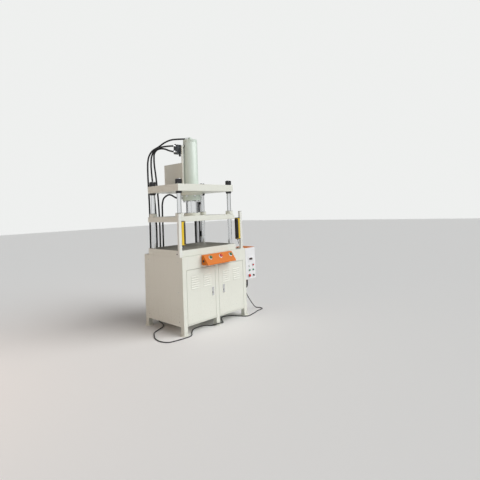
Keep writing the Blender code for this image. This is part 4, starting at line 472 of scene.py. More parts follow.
class Bench:
    """Models by hand: adds primitives and shapes them with Blender's own operators."""

    SMOOTH_BELOW = 32.0
    TUBE_SMOOTH_BELOW = 50.0
    WELD = 0.00001
    FACES_THE_WAY = 0.99

    @staticmethod
    def fresh() -> None:
        """Leaves edit mode and deselects everything."""
        active = bpy.context.view_layer.objects.active
        if active and active.mode != "OBJECT":
            bpy.ops.object.mode_set(mode="OBJECT")
        bpy.ops.object.select_all(action="DESELECT")

    @staticmethod
    def named(name: str) -> Piece:
        """Names the active object and its mesh, and gives the object."""
        bpy.context.active_object.name = bpy.context.active_object.data.name = name
        return bpy.context.active_object

    @staticmethod
    def pick(obj: Piece) -> None:
        """Makes one object the active and only selected one.

        Args:
            obj: the object.
        """
        Bench.fresh()
        bpy.context.view_layer.objects.active = obj
        obj.select_set(True)

    @staticmethod
    def settle(obj: Piece, angle: float = SMOOTH_BELOW) -> Piece:
        """Applies the object's place and shades it smooth.

        Args:
            obj: the object.
            angle: the angle in degrees above which an edge stays sharp.

        Returns:
            The same object.
        """
        Bench.pick(obj)
        bpy.ops.object.transform_apply(location=True, rotation=True, scale=True)
        bpy.ops.object.shade_smooth_by_angle(angle=math.radians(angle))
        return obj

    @staticmethod
    def apply(obj: Piece, modifier: bpy.types.Modifier) -> Piece:
        """Applies a modifier and settles the piece.

        Args:
            obj: the piece.
            modifier: its modifier.

        Returns:
            The same piece.
        """
        Bench.pick(obj)
        bpy.ops.object.modifier_apply(modifier=modifier.name)
        return Bench.settle(obj)

    @staticmethod
    def stance(at: Vector, along: Vector) -> Matrix:
        """The matrix that turns +Z towards a direction and moves zero to a place."""
        return Matrix.Translation(at) @ Vector(along).to_track_quat("Z", "Y").to_matrix().to_4x4()

    @staticmethod
    def turned(
        name: str, profile: Profile, at: Vector = Vector(), along: Vector = UP, sides: int = 64
    ) -> Piece:
        """Turns a profile by extruding a circle from station to station.

        Args:
            name: the piece's name.
            profile: (radius, height) stations. One that starts at radius 0 ends there too. The last
                station of any other is bridged to its first, which makes a ring.
            at: the place of the profile's zero.
            along: the direction of the profile's height.
            sides: facets round the circle.

        Returns:
            The piece, at its place.
        """
        Bench.fresh()
        stations = list(profile)
        pole = stations[0][0] == 0.0
        start = stations[1] if pole else stations[0]
        bpy.ops.mesh.primitive_circle_add(
            vertices=sides,
            radius=start[0],
            fill_type="TRIFAN" if pole else "NOTHING",
            location=(0.0, 0.0, start[1]),
        )
        obj = Bench.named(name)
        bpy.ops.object.mode_set(mode="EDIT")
        bpy.ops.mesh.select_mode(type="VERT")
        if pole:
            bpy.ops.mesh.select_all(action="DESELECT")
            mesh = bmesh.from_edit_mesh(obj.data)
            min(mesh.verts, key=lambda vert: vert.co.xy.length).select = True
            mesh.select_flush_mode()
            bmesh.update_edit_mesh(obj.data)
            bpy.ops.transform.translate(value=(0.0, 0.0, stations[0][1] - start[1]))
            bpy.ops.mesh.select_all(action="DESELECT")
            bpy.ops.mesh.select_non_manifold()
            stations = stations[1:]
        else:
            bpy.ops.mesh.select_all(action="SELECT")
        for (radius, height), (next_radius, next_height) in zip(stations, stations[1:]):
            rise = (0.0, 0.0, next_height - height)
            bpy.ops.mesh.extrude_region_move(TRANSFORM_OT_translate={"value": rise})
            if next_radius == 0.0:
                bpy.ops.mesh.merge(type="CENTER")
                break
            if next_radius != radius:
                ratio = next_radius / radius
                bpy.ops.transform.resize(value=(ratio, ratio, 1.0), center_override=(0.0, 0.0, next_height))
        if not pole:
            bpy.ops.mesh.select_all(action="DESELECT")
            bpy.ops.mesh.select_non_manifold()
            bpy.ops.mesh.bridge_edge_loops()
        bpy.ops.mesh.select_all(action="SELECT")
        bpy.ops.mesh.normals_make_consistent(inside=False)
        bpy.ops.object.mode_set(mode="OBJECT")
        obj.matrix_world = Bench.stance(at, along) @ obj.matrix_world
        return Bench.settle(obj)

    @staticmethod
    def block(name: str, low: Point, high: Point, edge: float = 0.0015, segments: int = 2) -> Piece:
        """Adds a block between two corners with eased edges.

        Args:
            name: the piece's name.
            low: its lowest corner.
            high: its highest corner.
            edge: the width of its edges.
            segments: the steps round an edge.

        Returns:
            The piece, at its place.
        """
        low, high = Vector(low), Vector(high)
        Bench.fresh()
        bpy.ops.mesh.primitive_cube_add(size=1.0, location=(low + high) / 2, scale=high - low)
        obj = Bench.named(name)
        bpy.ops.object.transform_apply(location=True, rotation=True, scale=True)
        if edge:
            bpy.ops.object.mode_set(mode="EDIT")
            bpy.ops.mesh.select_all(action="SELECT")
            bpy.ops.mesh.bevel(offset=edge, segments=segments, affect="EDGES")
            bpy.ops.object.mode_set(mode="OBJECT")
        return Bench.settle(obj)

    @staticmethod
    def step_face(obj: Piece, facing: Vector, steps: Iterable[tuple[float, float]]) -> Piece:
        """Insets the largest face that looks one way and pushes it out, once for each step.

        Args:
            obj: the piece.
            facing: the way that the face looks.
            steps: (inset, rise) pairs. A negative rise goes into the piece.

        Returns:
            The same piece.
        """
        Bench.pick(obj)
        bpy.ops.object.mode_set(mode="EDIT")
        bpy.ops.mesh.select_mode(type="FACE")
        bpy.ops.mesh.select_all(action="DESELECT")
        mesh = bmesh.from_edit_mesh(obj.data)
        found = [face for face in mesh.faces if face.normal.dot(facing) > Bench.FACES_THE_WAY]
        max(found, key=lambda face: face.calc_area()).select = True
        bmesh.update_edit_mesh(obj.data)
        for inset, rise in steps:
            if inset:
                bpy.ops.mesh.inset(thickness=inset, depth=0.0)
            if rise:
                bpy.ops.mesh.extrude_region_move(TRANSFORM_OT_translate={"value": tuple(facing * rise)})
        bpy.ops.object.mode_set(mode="OBJECT")
        return Bench.settle(obj)

    @staticmethod
    def carve(obj: Piece, other: Piece, operation: str = "DIFFERENCE") -> Piece:
        """Applies an exact Boolean and removes the other body.

        Args:
            obj: the piece.
            other: the body that is taken off or kept in common.
            operation: the Boolean's operation.

        Returns:
            The same piece.
        """
        modifier = obj.modifiers.new("carve", "BOOLEAN")
        modifier.operation = operation
        modifier.solver = "EXACT"
        modifier.object = other
        Bench.apply(obj, modifier)
        bpy.data.objects.remove(other, do_unlink=True)
        return obj

    @staticmethod
    def scatter(name: str, pattern: Piece, places: Places) -> Piece:
        """Copies a small piece to each place, joins the copies and removes the pattern.

        Args:
            name: the joined piece's name.
            pattern: the piece, made at the origin with +Z outwards.
            places: (place, direction of +Z) pairs.

        Returns:
            The joined piece.
        """
        copies = []
        for at, along in places:
            copy = pattern.copy()
            copy.data = pattern.data.copy()
            copy.data.transform(Bench.stance(at, along))
            bpy.context.scene.collection.objects.link(copy)
            copies.append(copy)
        Bench.fresh()
        for copy in copies:
            copy.select_set(True)
        bpy.context.view_layer.objects.active = copies[0]
        bpy.ops.object.join()
        bpy.data.objects.remove(pattern, do_unlink=True)
        return Bench.named(name)

    @staticmethod
    def line(
        name: str, points: Sequence[Vector], radius: float, widths: Sequence[float] | None = None,
        sides: int = 16,
    ) -> Piece:
        """Draws a round curve with closed ends through close points.

        Args:
            name: the curve's name.
            points: the line's points.
            radius: its radius.
            widths: a factor on the radius at each point.
            sides: facets round it, a multiple of 4.

        Returns:
            The curve's object.
        """
        curve = bpy.data.curves.new(name, "CURVE")
        curve.dimensions = "3D"
        curve.bevel_depth = radius
        curve.bevel_resolution = sides // 2 - 2
        curve.use_fill_caps = True
        spline = curve.splines.new("POLY")
        spline.points.add(len(points) - 1)
        for target, point, width in zip(spline.points, points, widths or [1.0] * len(points)):
            target.co = (*point, 1.0)
            target.radius = width
        obj = bpy.data.objects.new(name, curve)
        bpy.context.scene.collection.objects.link(obj)
        return obj

    @staticmethod
    def tube(
        name: str, points: Sequence[Vector], radius: float, widths: Sequence[float] | None = None,
        sides: int = 16,
    ) -> Piece:
        """Makes a mesh tube through close points.

        Args:
            name: the tube's name.
            points: the line's points.
            radius: its radius.
            widths: a factor on the radius at each point.
            sides: facets round it, a multiple of 4.

        Returns:
            The piece.
        """
        Bench.pick(Bench.line(name, points, radius, widths, sides))
        bpy.ops.object.convert(target="MESH")
        obj = Bench.named(name)
        bpy.ops.object.mode_set(mode="EDIT")
        bpy.ops.mesh.select_all(action="SELECT")
        bpy.ops.mesh.remove_doubles(threshold=Bench.WELD)
        bpy.ops.mesh.normals_make_consistent(inside=False)
        bpy.ops.object.mode_set(mode="OBJECT")
        return Bench.settle(obj, Bench.TUBE_SMOOTH_BELOW)


class Fastener:
    """The screws and nuts that repeat on the press, each standing on the origin."""

    @staticmethod
    def socket_screw(radius: float, height: float) -> Piece:
        """Models a socket head cap screw's head.

        Args:
            radius: the head's radius.
            height: the head's height.

        Returns:
            The head.
        """
        profile = ((0.0, height), (0.92 * radius, height), (radius, 0.9 * height), (radius, 0.0), (0.0, 0.0))
        head = Bench.turned("socket_screw", profile, sides=24)
        Bench.fresh()
        bpy.ops.mesh.primitive_cylinder_add(
            vertices=6, radius=0.55 * radius, depth=height, location=(0, 0, height)
        )
        return Bench.carve(head, Bench.named("socket"))

    @staticmethod
    def hex_nut(flats: float, height: float, bore: float) -> Piece:
        """Models a hexagon nut with rounded-off corners.

        Args:
            flats: the size across the flats.
            height: the nut's height.
            bore: the hole's radius.

        Returns:
            The nut.
        """
        Bench.fresh()
        corner = flats / math.sqrt(3)
        bpy.ops.mesh.primitive_cylinder_add(
            vertices=6, radius=corner, depth=height, location=(0, 0, height / 2)
        )
        nut = Bench.named("hex_nut")
        bpy.ops.object.transform_apply(location=True, rotation=True, scale=True)
        crest, drop = 0.49 * flats, (corner - 0.49 * flats) * 0.58
        over, under, wide = height + 0.0001, -0.0001, corner + 0.001
        dome = (
            (0.0, over), (crest, over), (wide, height - drop), (wide, drop), (crest, under), (0.0, under),
        )
        Bench.carve(nut, Bench.turned("nut_rounding", dome, sides=72), "INTERSECT")
        hole = ((0.0, height + 0.01), (bore, height + 0.01), (bore, -0.01), (0.0, -0.01))
        return Bench.carve(nut, Bench.turned("nut_hole", hole, sides=48))

    @staticmethod
    def pan_screw(radius: float) -> Piece:
        """Models a cross-recess pan head.

        Args:
            radius: the head's radius.

        Returns:
            The head.
        """
        height = 0.62 * radius
        profile = (
            (0.0, height), (0.55 * radius, 0.95 * height), (0.86 * radius, 0.68 * height),
            (radius, 0.3 * height), (radius, 0.0), (0.0, 0.0),
        )
        head = Bench.turned("pan_screw", profile, sides=20)
        for wide, deep in ((0.9, 0.2), (0.2, 0.9)):
            Bench.fresh()
            bpy.ops.mesh.primitive_cube_add(
                size=radius, location=(0, 0, height * 1.1), scale=(wide, deep, 0.5)
            )
            Bench.carve(head, Bench.named("cross"))
        return head


@dataclass
class Assembly:
    """What every sub-assembly shares."""

    palette: Palette

    def dress(self, finish: Finish, *nodes: str) -> None:
        """Gives solids a finish.

        Args:
            finish: the finish.
            nodes: the solids' names.
        """
        for name in nodes:
            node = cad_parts[name]
            material = self.palette.material(finish)
            if node.material_slots:
                for place in node.material_slots:
                    place.material = material
            else:
                node.data.materials.append(material)

    def fit(
        self, piece: Piece, finish: Finish, body: Body = Body.PRESS, stands_for: Sequence[str] = ()
    ) -> None:
        """Gives a piece its finish and its body.

        Args:
            piece: the piece.
            finish: its finish.
            body: what it rides on.
            stands_for: the solids that it replaces.
        """
        piece.data.materials.clear()
        piece.data.materials.append(self.palette.material(finish))
        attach(piece, body.value)
        if stands_for:
            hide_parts(*stands_for)
        LOG.info("%s: %d faces on %s", piece.name, len(piece.data.polygons), body.value)

    def turn(
        self,
        name: str,
        finish: Finish,
        profile: Profile,
        at: Vector,
        along: Vector = UP,
        sides: int = 64,
        body: Body = Body.PRESS,
        stands_for: Sequence[str] = (),
    ) -> None:
        """Turns a profile as Bench.turned does and fits the piece as fit does."""
        self.fit(Bench.turned(name, profile, at, along, sides), finish, body, stands_for)

    def scatter(
        self, name: str, finish: Finish, pattern: Piece, places: Places, body: Body = Body.PRESS
    ) -> None:
        """Scatters a pattern as Bench.scatter does and fits the joined piece."""
        self.fit(Bench.scatter(name, pattern, places), finish, body)


@dataclass
class Studio:
    """Floor, lamps, sky and camera."""

    lens: float = 27.83
    shift: float = -0.0939
    eye: Point = (-2.63, -3.3276, 1.4041)
    yaw: float = 47.4839
    pitch: float = 2.1417
    roll: float = -2.0988
    key_way: Point = (-0.42, 0.78, -0.72)
    key_strength: float = 2.50
    key_spread: float = 0.95
    fill_place: Point = (-4.0, 0.4, 1.8)
    fill_target: Point = (0.0, 0.0, 1.0)
    fill_size: float = 2.4
    fill_power: float = 21.0
    fill_colour: Colour = (1.0, 0.60, 0.38)
    floor_size: float = 60.0
    floor_colour: Sequence[float] = (0.82, 0.82, 0.81, 1.0)
    sky_colour: Sequence[float] = (0.98, 0.99, 1.0, 1.0)
    sky_strength: float = 0.25
    backdrop_colour: Sequence[float] = (0.86, 0.87, 0.86, 1.0)
    card_way: Point = (0.737, 0.676, 0.0)
    card_edge: tuple[float, float] = (-0.35, 0.55)
    card_light: tuple[float, float] = (0.95, 0.18)

    def build(self) -> None:
        """Sets up everything round the press."""
        self._camera()
        self._floor()
        self._sky()
        self._lamps()
        bpy.context.scene.view_settings.view_transform = "Standard"

    def _camera(self) -> None:
        """Stands the camera where the photograph was taken from."""
        yaw, pitch, roll = (math.radians(angle) for angle in (self.yaw, self.pitch, self.roll))
        ahead = Vector((math.sin(yaw) * math.cos(pitch), math.cos(yaw) * math.cos(pitch), math.sin(pitch)))
        level = Vector((math.cos(yaw), -math.sin(yaw), 0.0))
        over = level.cross(ahead)
        side = level * math.cos(roll) + over * math.sin(roll)
        top = over * math.cos(roll) - level * math.sin(roll)
        data = bpy.data.cameras.new("camera")
        data.sensor_fit = "HORIZONTAL"
        data.sensor_width = 36.0
        data.lens = self.lens
        data.shift_y = self.shift
        camera = bpy.data.objects.new("camera", data)
        turn = Matrix((side, top, -ahead)).transposed().to_4x4()
        camera.matrix_world = Matrix.Translation(spot(*self.eye)) @ turn
        bpy.context.scene.collection.objects.link(camera)
        bpy.context.scene.camera = camera

    def _floor(self) -> None:
        """Lays the pale floor."""
        Bench.fresh()
        bpy.ops.mesh.primitive_plane_add(size=self.floor_size)
        floor = Bench.named("floor")
        material = bpy.data.materials.new("floor")
        material.use_nodes = True
        Wiring(material.node_tree).feed(
            material.node_tree.nodes["Principled BSDF"],
            {"Base Color": self.floor_colour, "Roughness": 0.8, "Specular IOR Level": 0.1},
        )
        floor.data.materials.append(material)

    def _sky(self) -> None:
        """Makes the even light all round, and the backdrop that the camera and gloss see.

        Gloss sees the backdrop darker ahead of the camera, as if a grey card stood there.
        """
        world = bpy.data.worlds.new("studio")
        world.use_nodes = True
        wiring, nodes = Wiring(world.node_tree), world.node_tree.nodes
        even = {"Color": self.sky_colour, "Strength": self.sky_strength}
        light = wiring.feed(nodes["Background"], even)
        rays = wiring.add("ShaderNodeLightPath").outputs
        ahead = wiring.add("ShaderNodeVectorMath")
        ahead.operation = "DOT_PRODUCT"
        wiring.feed(ahead, {0: wiring.add("ShaderNodeTexCoord").outputs["Generated"], 1: self.card_way})
        card = wiring.spread(ahead.outputs["Value"], *self.card_edge, *self.card_light)
        strength = wiring.maths("MAXIMUM", rays["Is Camera Ray"], card)
        backdrop = {"Color": self.backdrop_colour, "Strength": strength}
        seen = wiring.add("ShaderNodeBackground", backdrop)
        either = wiring.maths("MAXIMUM", rays["Is Camera Ray"], rays["Is Glossy Ray"])
        mix = wiring.add("ShaderNodeMixShader", {0: either, 1: light.outputs[0], 2: seen.outputs[0]})
        wiring.feed(nodes["World Output"], {"Surface": mix.outputs[0]})
        bpy.context.scene.world = world

    def _lamps(self) -> None:
        """Sends the wide key light from the right front and hangs the warm fill lamp on the left."""
        key = bpy.data.lights.new("key", "SUN")
        key.angle = self.key_spread
        self._hang(key, self.key_strength, Vector(self.key_way))
        fill = bpy.data.lights.new("fill", "AREA")
        fill.size = self.fill_size
        fill.color = self.fill_colour
        lamp = self._hang(fill, self.fill_power, Vector(self.fill_target) - Vector(self.fill_place))
        lamp.location = self.fill_place
        lamp.visible_glossy = False

    @staticmethod
    def _hang(data: bpy.types.Light, power: float, way: Vector) -> Piece:
        """Hangs a lamp.

        Args:
            data: the lamp's data.
            power: its strength or power.
            way: the way that it shines.

        Returns:
            The lamp.
        """
        data.energy = power
        lamp = bpy.data.objects.new(data.name, data)
        lamp.rotation_euler = way.to_track_quat("-Z", "Y").to_euler()
        bpy.context.scene.collection.objects.link(lamp)
        return lamp


@dataclass
class Cabinet(Assembly):
    """Frame, covers, feet and doors."""

    leg: float = 0.055
    foot_radius: float = 0.0502
    foot_height: float = 0.0101
    foot_ease: float = 0.0015
    latch_base: float = 0.375
    latch_height: float = 0.103
    latch_width: float = 0.030
    rim_ease: float = 0.0008

    def build(self) -> None:
        """Dresses the cabinet and adds its feet, screws and latches."""
        self.dress(CREAM, "cabinet_frame", "left_side_panel", "right_side_panel", "back_panel")
        self.dress(CREAM, "left_door", "right_door")
        self._feet()
        self._screws()
        self._latch("left", 0.455, Body.LEFT_DOOR, Body.LEFT_LATCH)
        self._latch("right", 0.638, Body.RIGHT_DOOR, Body.RIGHT_LATCH)

    def _feet(self) -> None:
        """Turns the six round foot plates with their eased rims."""
        radius, height, ease = self.foot_radius, self.foot_height, self.foot_ease
        rim = ((0.0, height), (radius - ease, height), (radius, height - ease), (radius, 0.0), (0.0, 0.0))
        half = self.leg / 2
        xs = (half, CABINET_WIDTH / 2, CABINET_WIDTH - half)
        places = grid(xs, (half, CABINET_DEPTH - half), (0.0,), UP)
        self.scatter("foot_plates", CREAM, Bench.turned("foot_plate", rim), places)

    def _screws(self) -> None:
        """Screws the side and back covers on."""
        heights = (0.150, 0.480, 0.820)
        places = grid((0.001,), (0.080, 0.670), heights, LEFT)
        places += grid((CABINET_WIDTH - 0.001,), (0.300, 0.670), heights, RIGHT)
        places += grid((0.080, 0.530, 0.980), (CABINET_DEPTH + 0.0023,), heights, BACK)
        self.scatter("cover_screws", BRIGHT, Fastener.pan_screw(0.005), places)

    def _latch(self, side: str, x: float, door: Body, latch: Body) -> None:
        """Fits the chromed rim, the paddle and the key ring of a flush latch.

        Args:
            side: left or right.
            x: the latch's middle.
            door: the door's body.
            latch: the paddle's body.
        """
        half, base, top = self.latch_width / 2, self.latch_base, self.latch_base + self.latch_height
        low = spot(x - half - SKIN, -0.0043, base - SKIN)
        high = spot(x + half + SKIN, 0.0005, top + SKIN)
        rim = Bench.block(f"{side}_latch_rim", low, high, 0.0)
        inset = Vector((0.0033, -0.01, 0.0033))
        Bench.carve(rim, Bench.block("latch_well", low + inset, high - inset, 0.0))
        ease = rim.modifiers.new("ease", "BEVEL")
        ease.width = self.rim_ease
        ease.segments = 2
        self.fit(Bench.apply(rim, ease), BRIGHT, door)
        self.dress(BRIGHT, f"{side}_door_latch")
        ring = ((0.0105, 0.0006), (0.0098, 0.0024), (0.0088, 0.0024), (0.0088, 0.0006))
        at = spot(x, -0.004, base + 0.35 * self.latch_height)
        self.turn(f"{side}_key_ring", BLACKED, ring, at, FRONT, 32, latch)


@dataclass
class Columns(Assembly):
    """The columns with their lock nuts and crown nuts, and the plates that they carry."""

    places: tuple[tuple[str, float, float], ...] = (
        ("front_left", 0.0435, 0.078),
        ("front_right", 0.8624, 0.078),
        ("back_left", 0.0435, 0.597),
        ("back_right", 0.8624, 0.597),
    )
    radius: float = 0.025
    foot: float = 0.8926
    crown_base: float = 1.6355
    crown_top: float = 1.7195
    top: float = 1.7808
    pitch: float = 0.0015
    groove: float = 0.0011
    lock_radius: float = 0.0365
    lock_height: float = 0.0258
    nut_flats: float = 0.0685
    nut_height: float = 0.0548
    collar_height: float = 0.0403
    collar_radius: float = 0.0470

    def build(self) -> None:
        """Dresses the plates, and turns the columns, nuts and collars."""
        self.dress(CREAM, "table", "crown", "slide")
        # A thin sheet over the table top: ground steel, with its dark colour standing in for painted shade.
        face = Bench.block("table_face_painted_shade", spot(0.003, 0.020, 0.9545), spot(0.897, 0.655, 0.9552), 0.0002, 1)
        self.fit(face, SHADED_TABLE_STEEL)
        radius, top, foot = self.radius, self.top, self.foot
        bar = (
            (0.0, top - 0.006), (0.0035, top - 0.006), (0.0055, top), (radius - 0.002, top),
            *self._thread(self.crown_top + 0.056, top - 0.002),
            (radius, self.crown_top + 0.054), (radius, foot + 0.002), (radius - 0.002, foot), (0.0, foot),
        )
        low, high, rim = self.crown_base - self.lock_height, self.crown_base - SKIN, self.lock_radius
        lock = (
            (radius, high), (rim - 0.001, high), (rim, high - 0.001), (rim, low + 0.009), (0.031, low),
            (radius, low),
        )
        for name, x, y in self.places:
            at = spot(x, y, 0.0)
            self.turn(f"column_bar_{name}", CHROME, bar, at, sides=96, stands_for=(f"column_{name}",))
            self.turn(f"lock_nut_{name}", BLACKED, lock, at, sides=72)
            nut = Fastener.hex_nut(self.nut_flats, self.nut_height, radius + 0.0002)
            nut = Bench.scatter(f"crown_hex_{name}", nut, [(at + UP * (self.crown_top + 0.0004), UP)])
            self.fit(Bench.settle(nut), BLACKED, stands_for=(f"crown_nut_{name}",))
        self._collars()

    def _thread(self, low: float, high: float) -> list[tuple[float, float]]:
        """Cuts the turns of thread that stand out of a nut.

        Args:
            low: the lowest turn's height.
            high: the highest turn's height.

        Returns:
            The profile's stations from the top down.
        """
        stations = []
        height = high
        while height > low:
            stations += [(self.radius, height), (self.radius - self.groove, height - self.pitch / 2)]
            height -= self.pitch
        return stations

    def _collars(self) -> None:
        """Turns the flanged guide bushes on the slide with their wipers and screws them down."""
        bore, top, rim = self.radius + SKIN, self.collar_height, self.collar_radius
        collar = (
            (bore, top), (0.0300, top), (0.0312, 0.0390), (0.0330, top), (0.0432, top), (rim, 0.0363),
            (rim, 0.0), (bore, 0.0),
        )
        wiper = ((bore, 0.0435), (0.0262, 0.0435), (0.0290, top), (bore, top))
        middles = [spot(x, y, SLIDE_TOP) for _, x, y in self.places]
        places = [(at, UP) for at in middles]
        collar = Bench.turned("guide_collar", collar, sides=96)
        self.scatter("guide_collars", CREAM, collar, places, Body.SLIDE)
        screws = [place for at in middles for place in around(at + UP * top, 0.0385, 4, UP, 45.0)]
        screw = Fastener.socket_screw(0.0045, 0.004)
        self.scatter("collar_screws", BLACKED, screw, screws, Body.SLIDE)
        wiper = Bench.turned("column_wiper", wiper, sides=72)
        self.scatter("column_wipers", RUBBER, wiper, places, Body.SLIDE)


@dataclass
class Cylinder(Assembly):
    """Barrel, clamp flange, head, ram and their bolts."""

    clamp_base: float = 1.5982
    head_base: float = 1.5299
    barrel_top: float = 2.312
    barrel_radius: float = 0.0900
    bore: float = 0.0800
    ram_radius: float = 0.0750
    ram_top: float = 2.100
    clamp_radius: float = 0.1400
    head_radius: float = 0.1175
    flange_radius: float = 0.1050
    flange_height: float = 0.034
    sides: int = 128

    def build(self) -> None:
        """Turns the cylinder's parts and sets their bolts."""
        at = spot(*AXIS, 0.0)
        self._barrel(at)
        self._head(at)
        self._ram(at)
        flange_top = SLIDE_TOP + SKIN + self.flange_height
        for name, base, radius, size, body, along, first in (
            ("clamp_bolts", self.clamp_base, 0.1280, (0.0110, 0.0160), Body.PRESS, DOWN, 22.5),
            ("head_bolts", self.head_base, 0.1000, (0.0120, 0.0180), Body.PRESS, DOWN, 0.0),
            ("ram_flange_bolts", flange_top, 0.0920, (0.0080, 0.0090), Body.SLIDE, UP, 22.5),
        ):
            places = around(at + UP * base, radius, 8, along, first)
            self.scatter(name, BRIGHT, Fastener.socket_screw(*size), places, body)

    def _barrel(self, at: Vector) -> None:
        """Turns the barrel with the boss on it and the flange that clamps it under the crown.

        Args:
            at: the press's axis on the floor.
        """
        top, clamp, outer, bore = self.barrel_top, self.clamp_base, self.barrel_radius, self.bore
        shell = (
            (0.0, top), (0.0835, top), (outer, top - 0.0065), (outer, top - 0.0385), (0.0892, top - 0.0400),
            (outer, top - 0.0415), (outer, clamp), (bore, clamp), (bore, top - 0.045), (0.0, top - 0.045),
        )
        self.turn("barrel_shell", MINT, shell, at, sides=self.sides, stands_for=("cylinder_barrel",))
        boss = ((0.0, 0.030), (0.0205, 0.030), (0.0220, 0.0285), (0.0220, 0.003), (0.0245, 0.0), (0.0, 0.0))
        self.turn("barrel_boss", MINT, boss, at + UP * top)
        inner, rim, high = outer + SKIN, self.clamp_radius, clamp + 0.037
        ring = ((inner, high), (rim, high), (rim, clamp + 0.004), (rim - 0.004, clamp), (inner, clamp))
        self.turn("clamp_ring", CREAM, ring, at, sides=self.sides, stands_for=("clamp_flange",))

    def _head(self, at: Vector) -> None:
        """Turns the cylinder's head, with its spigot in the bore, and the ram's wiper.

        Args:
            at: the press's axis on the floor.
        """
        base, rim, spigot, hole = self.head_base, self.head_radius, self.bore - SKIN, self.ram_radius + SKIN
        top, step = self.clamp_base + 0.0297, self.clamp_base - SKIN
        ring = (
            (spigot, top), (spigot, step), (rim - 0.001, step), (rim, step - 0.001), (rim, base + 0.030),
            (rim - 0.0013, base + 0.0285), (rim, base + 0.027), (rim, base + 0.004), (rim - 0.004, base),
            (hole, base), (hole, top),
        )
        self.turn("head_ring", MINT, ring, at, sides=self.sides, stands_for=("cylinder_head",))
        high, low = base - 0.0002, base - 0.0042
        wiper = ((0.0752, high), (0.0850, high), (0.0830, low), (0.0765, low))
        self.turn("ram_wiper", RUBBER, wiper, at, sides=96)

    def _ram(self, at: Vector) -> None:
        """Turns the ram with its piston, and the flange at its foot.

        Args:
            at: the press's axis on the floor.
        """
        foot, top, rod, piston = SLIDE_TOP + SKIN, self.ram_top, self.ram_radius, self.bore - SKIN
        bar = (
            (0.0, top), (0.0785, top), (piston, top - 0.0015), (piston, top - 0.060), (rod, top - 0.060),
            (rod, foot + 0.012), (0.0820, foot + 0.012), (0.0820, foot), (0.0, foot),
        )
        self.turn("ram_bar", CHROME, bar, at, sides=self.sides, body=Body.SLIDE, stands_for=("ram",))
        high, rim, hole = foot + self.flange_height, self.flange_radius, rod + SKIN
        ring = (
            (hole, high), (0.0790, high), (0.0800, high - 0.001), (0.0810, high), (rim - 0.003, high),
            (rim, high - 0.003), (rim, foot), (0.0823, foot), (0.0823, foot + 0.0123), (hole, foot + 0.0123),
        )
        self.turn(
            "ram_flange_ring", CREAM, ring, at, sides=self.sides, body=Body.SLIDE, stands_for=("ram_flange",)
        )


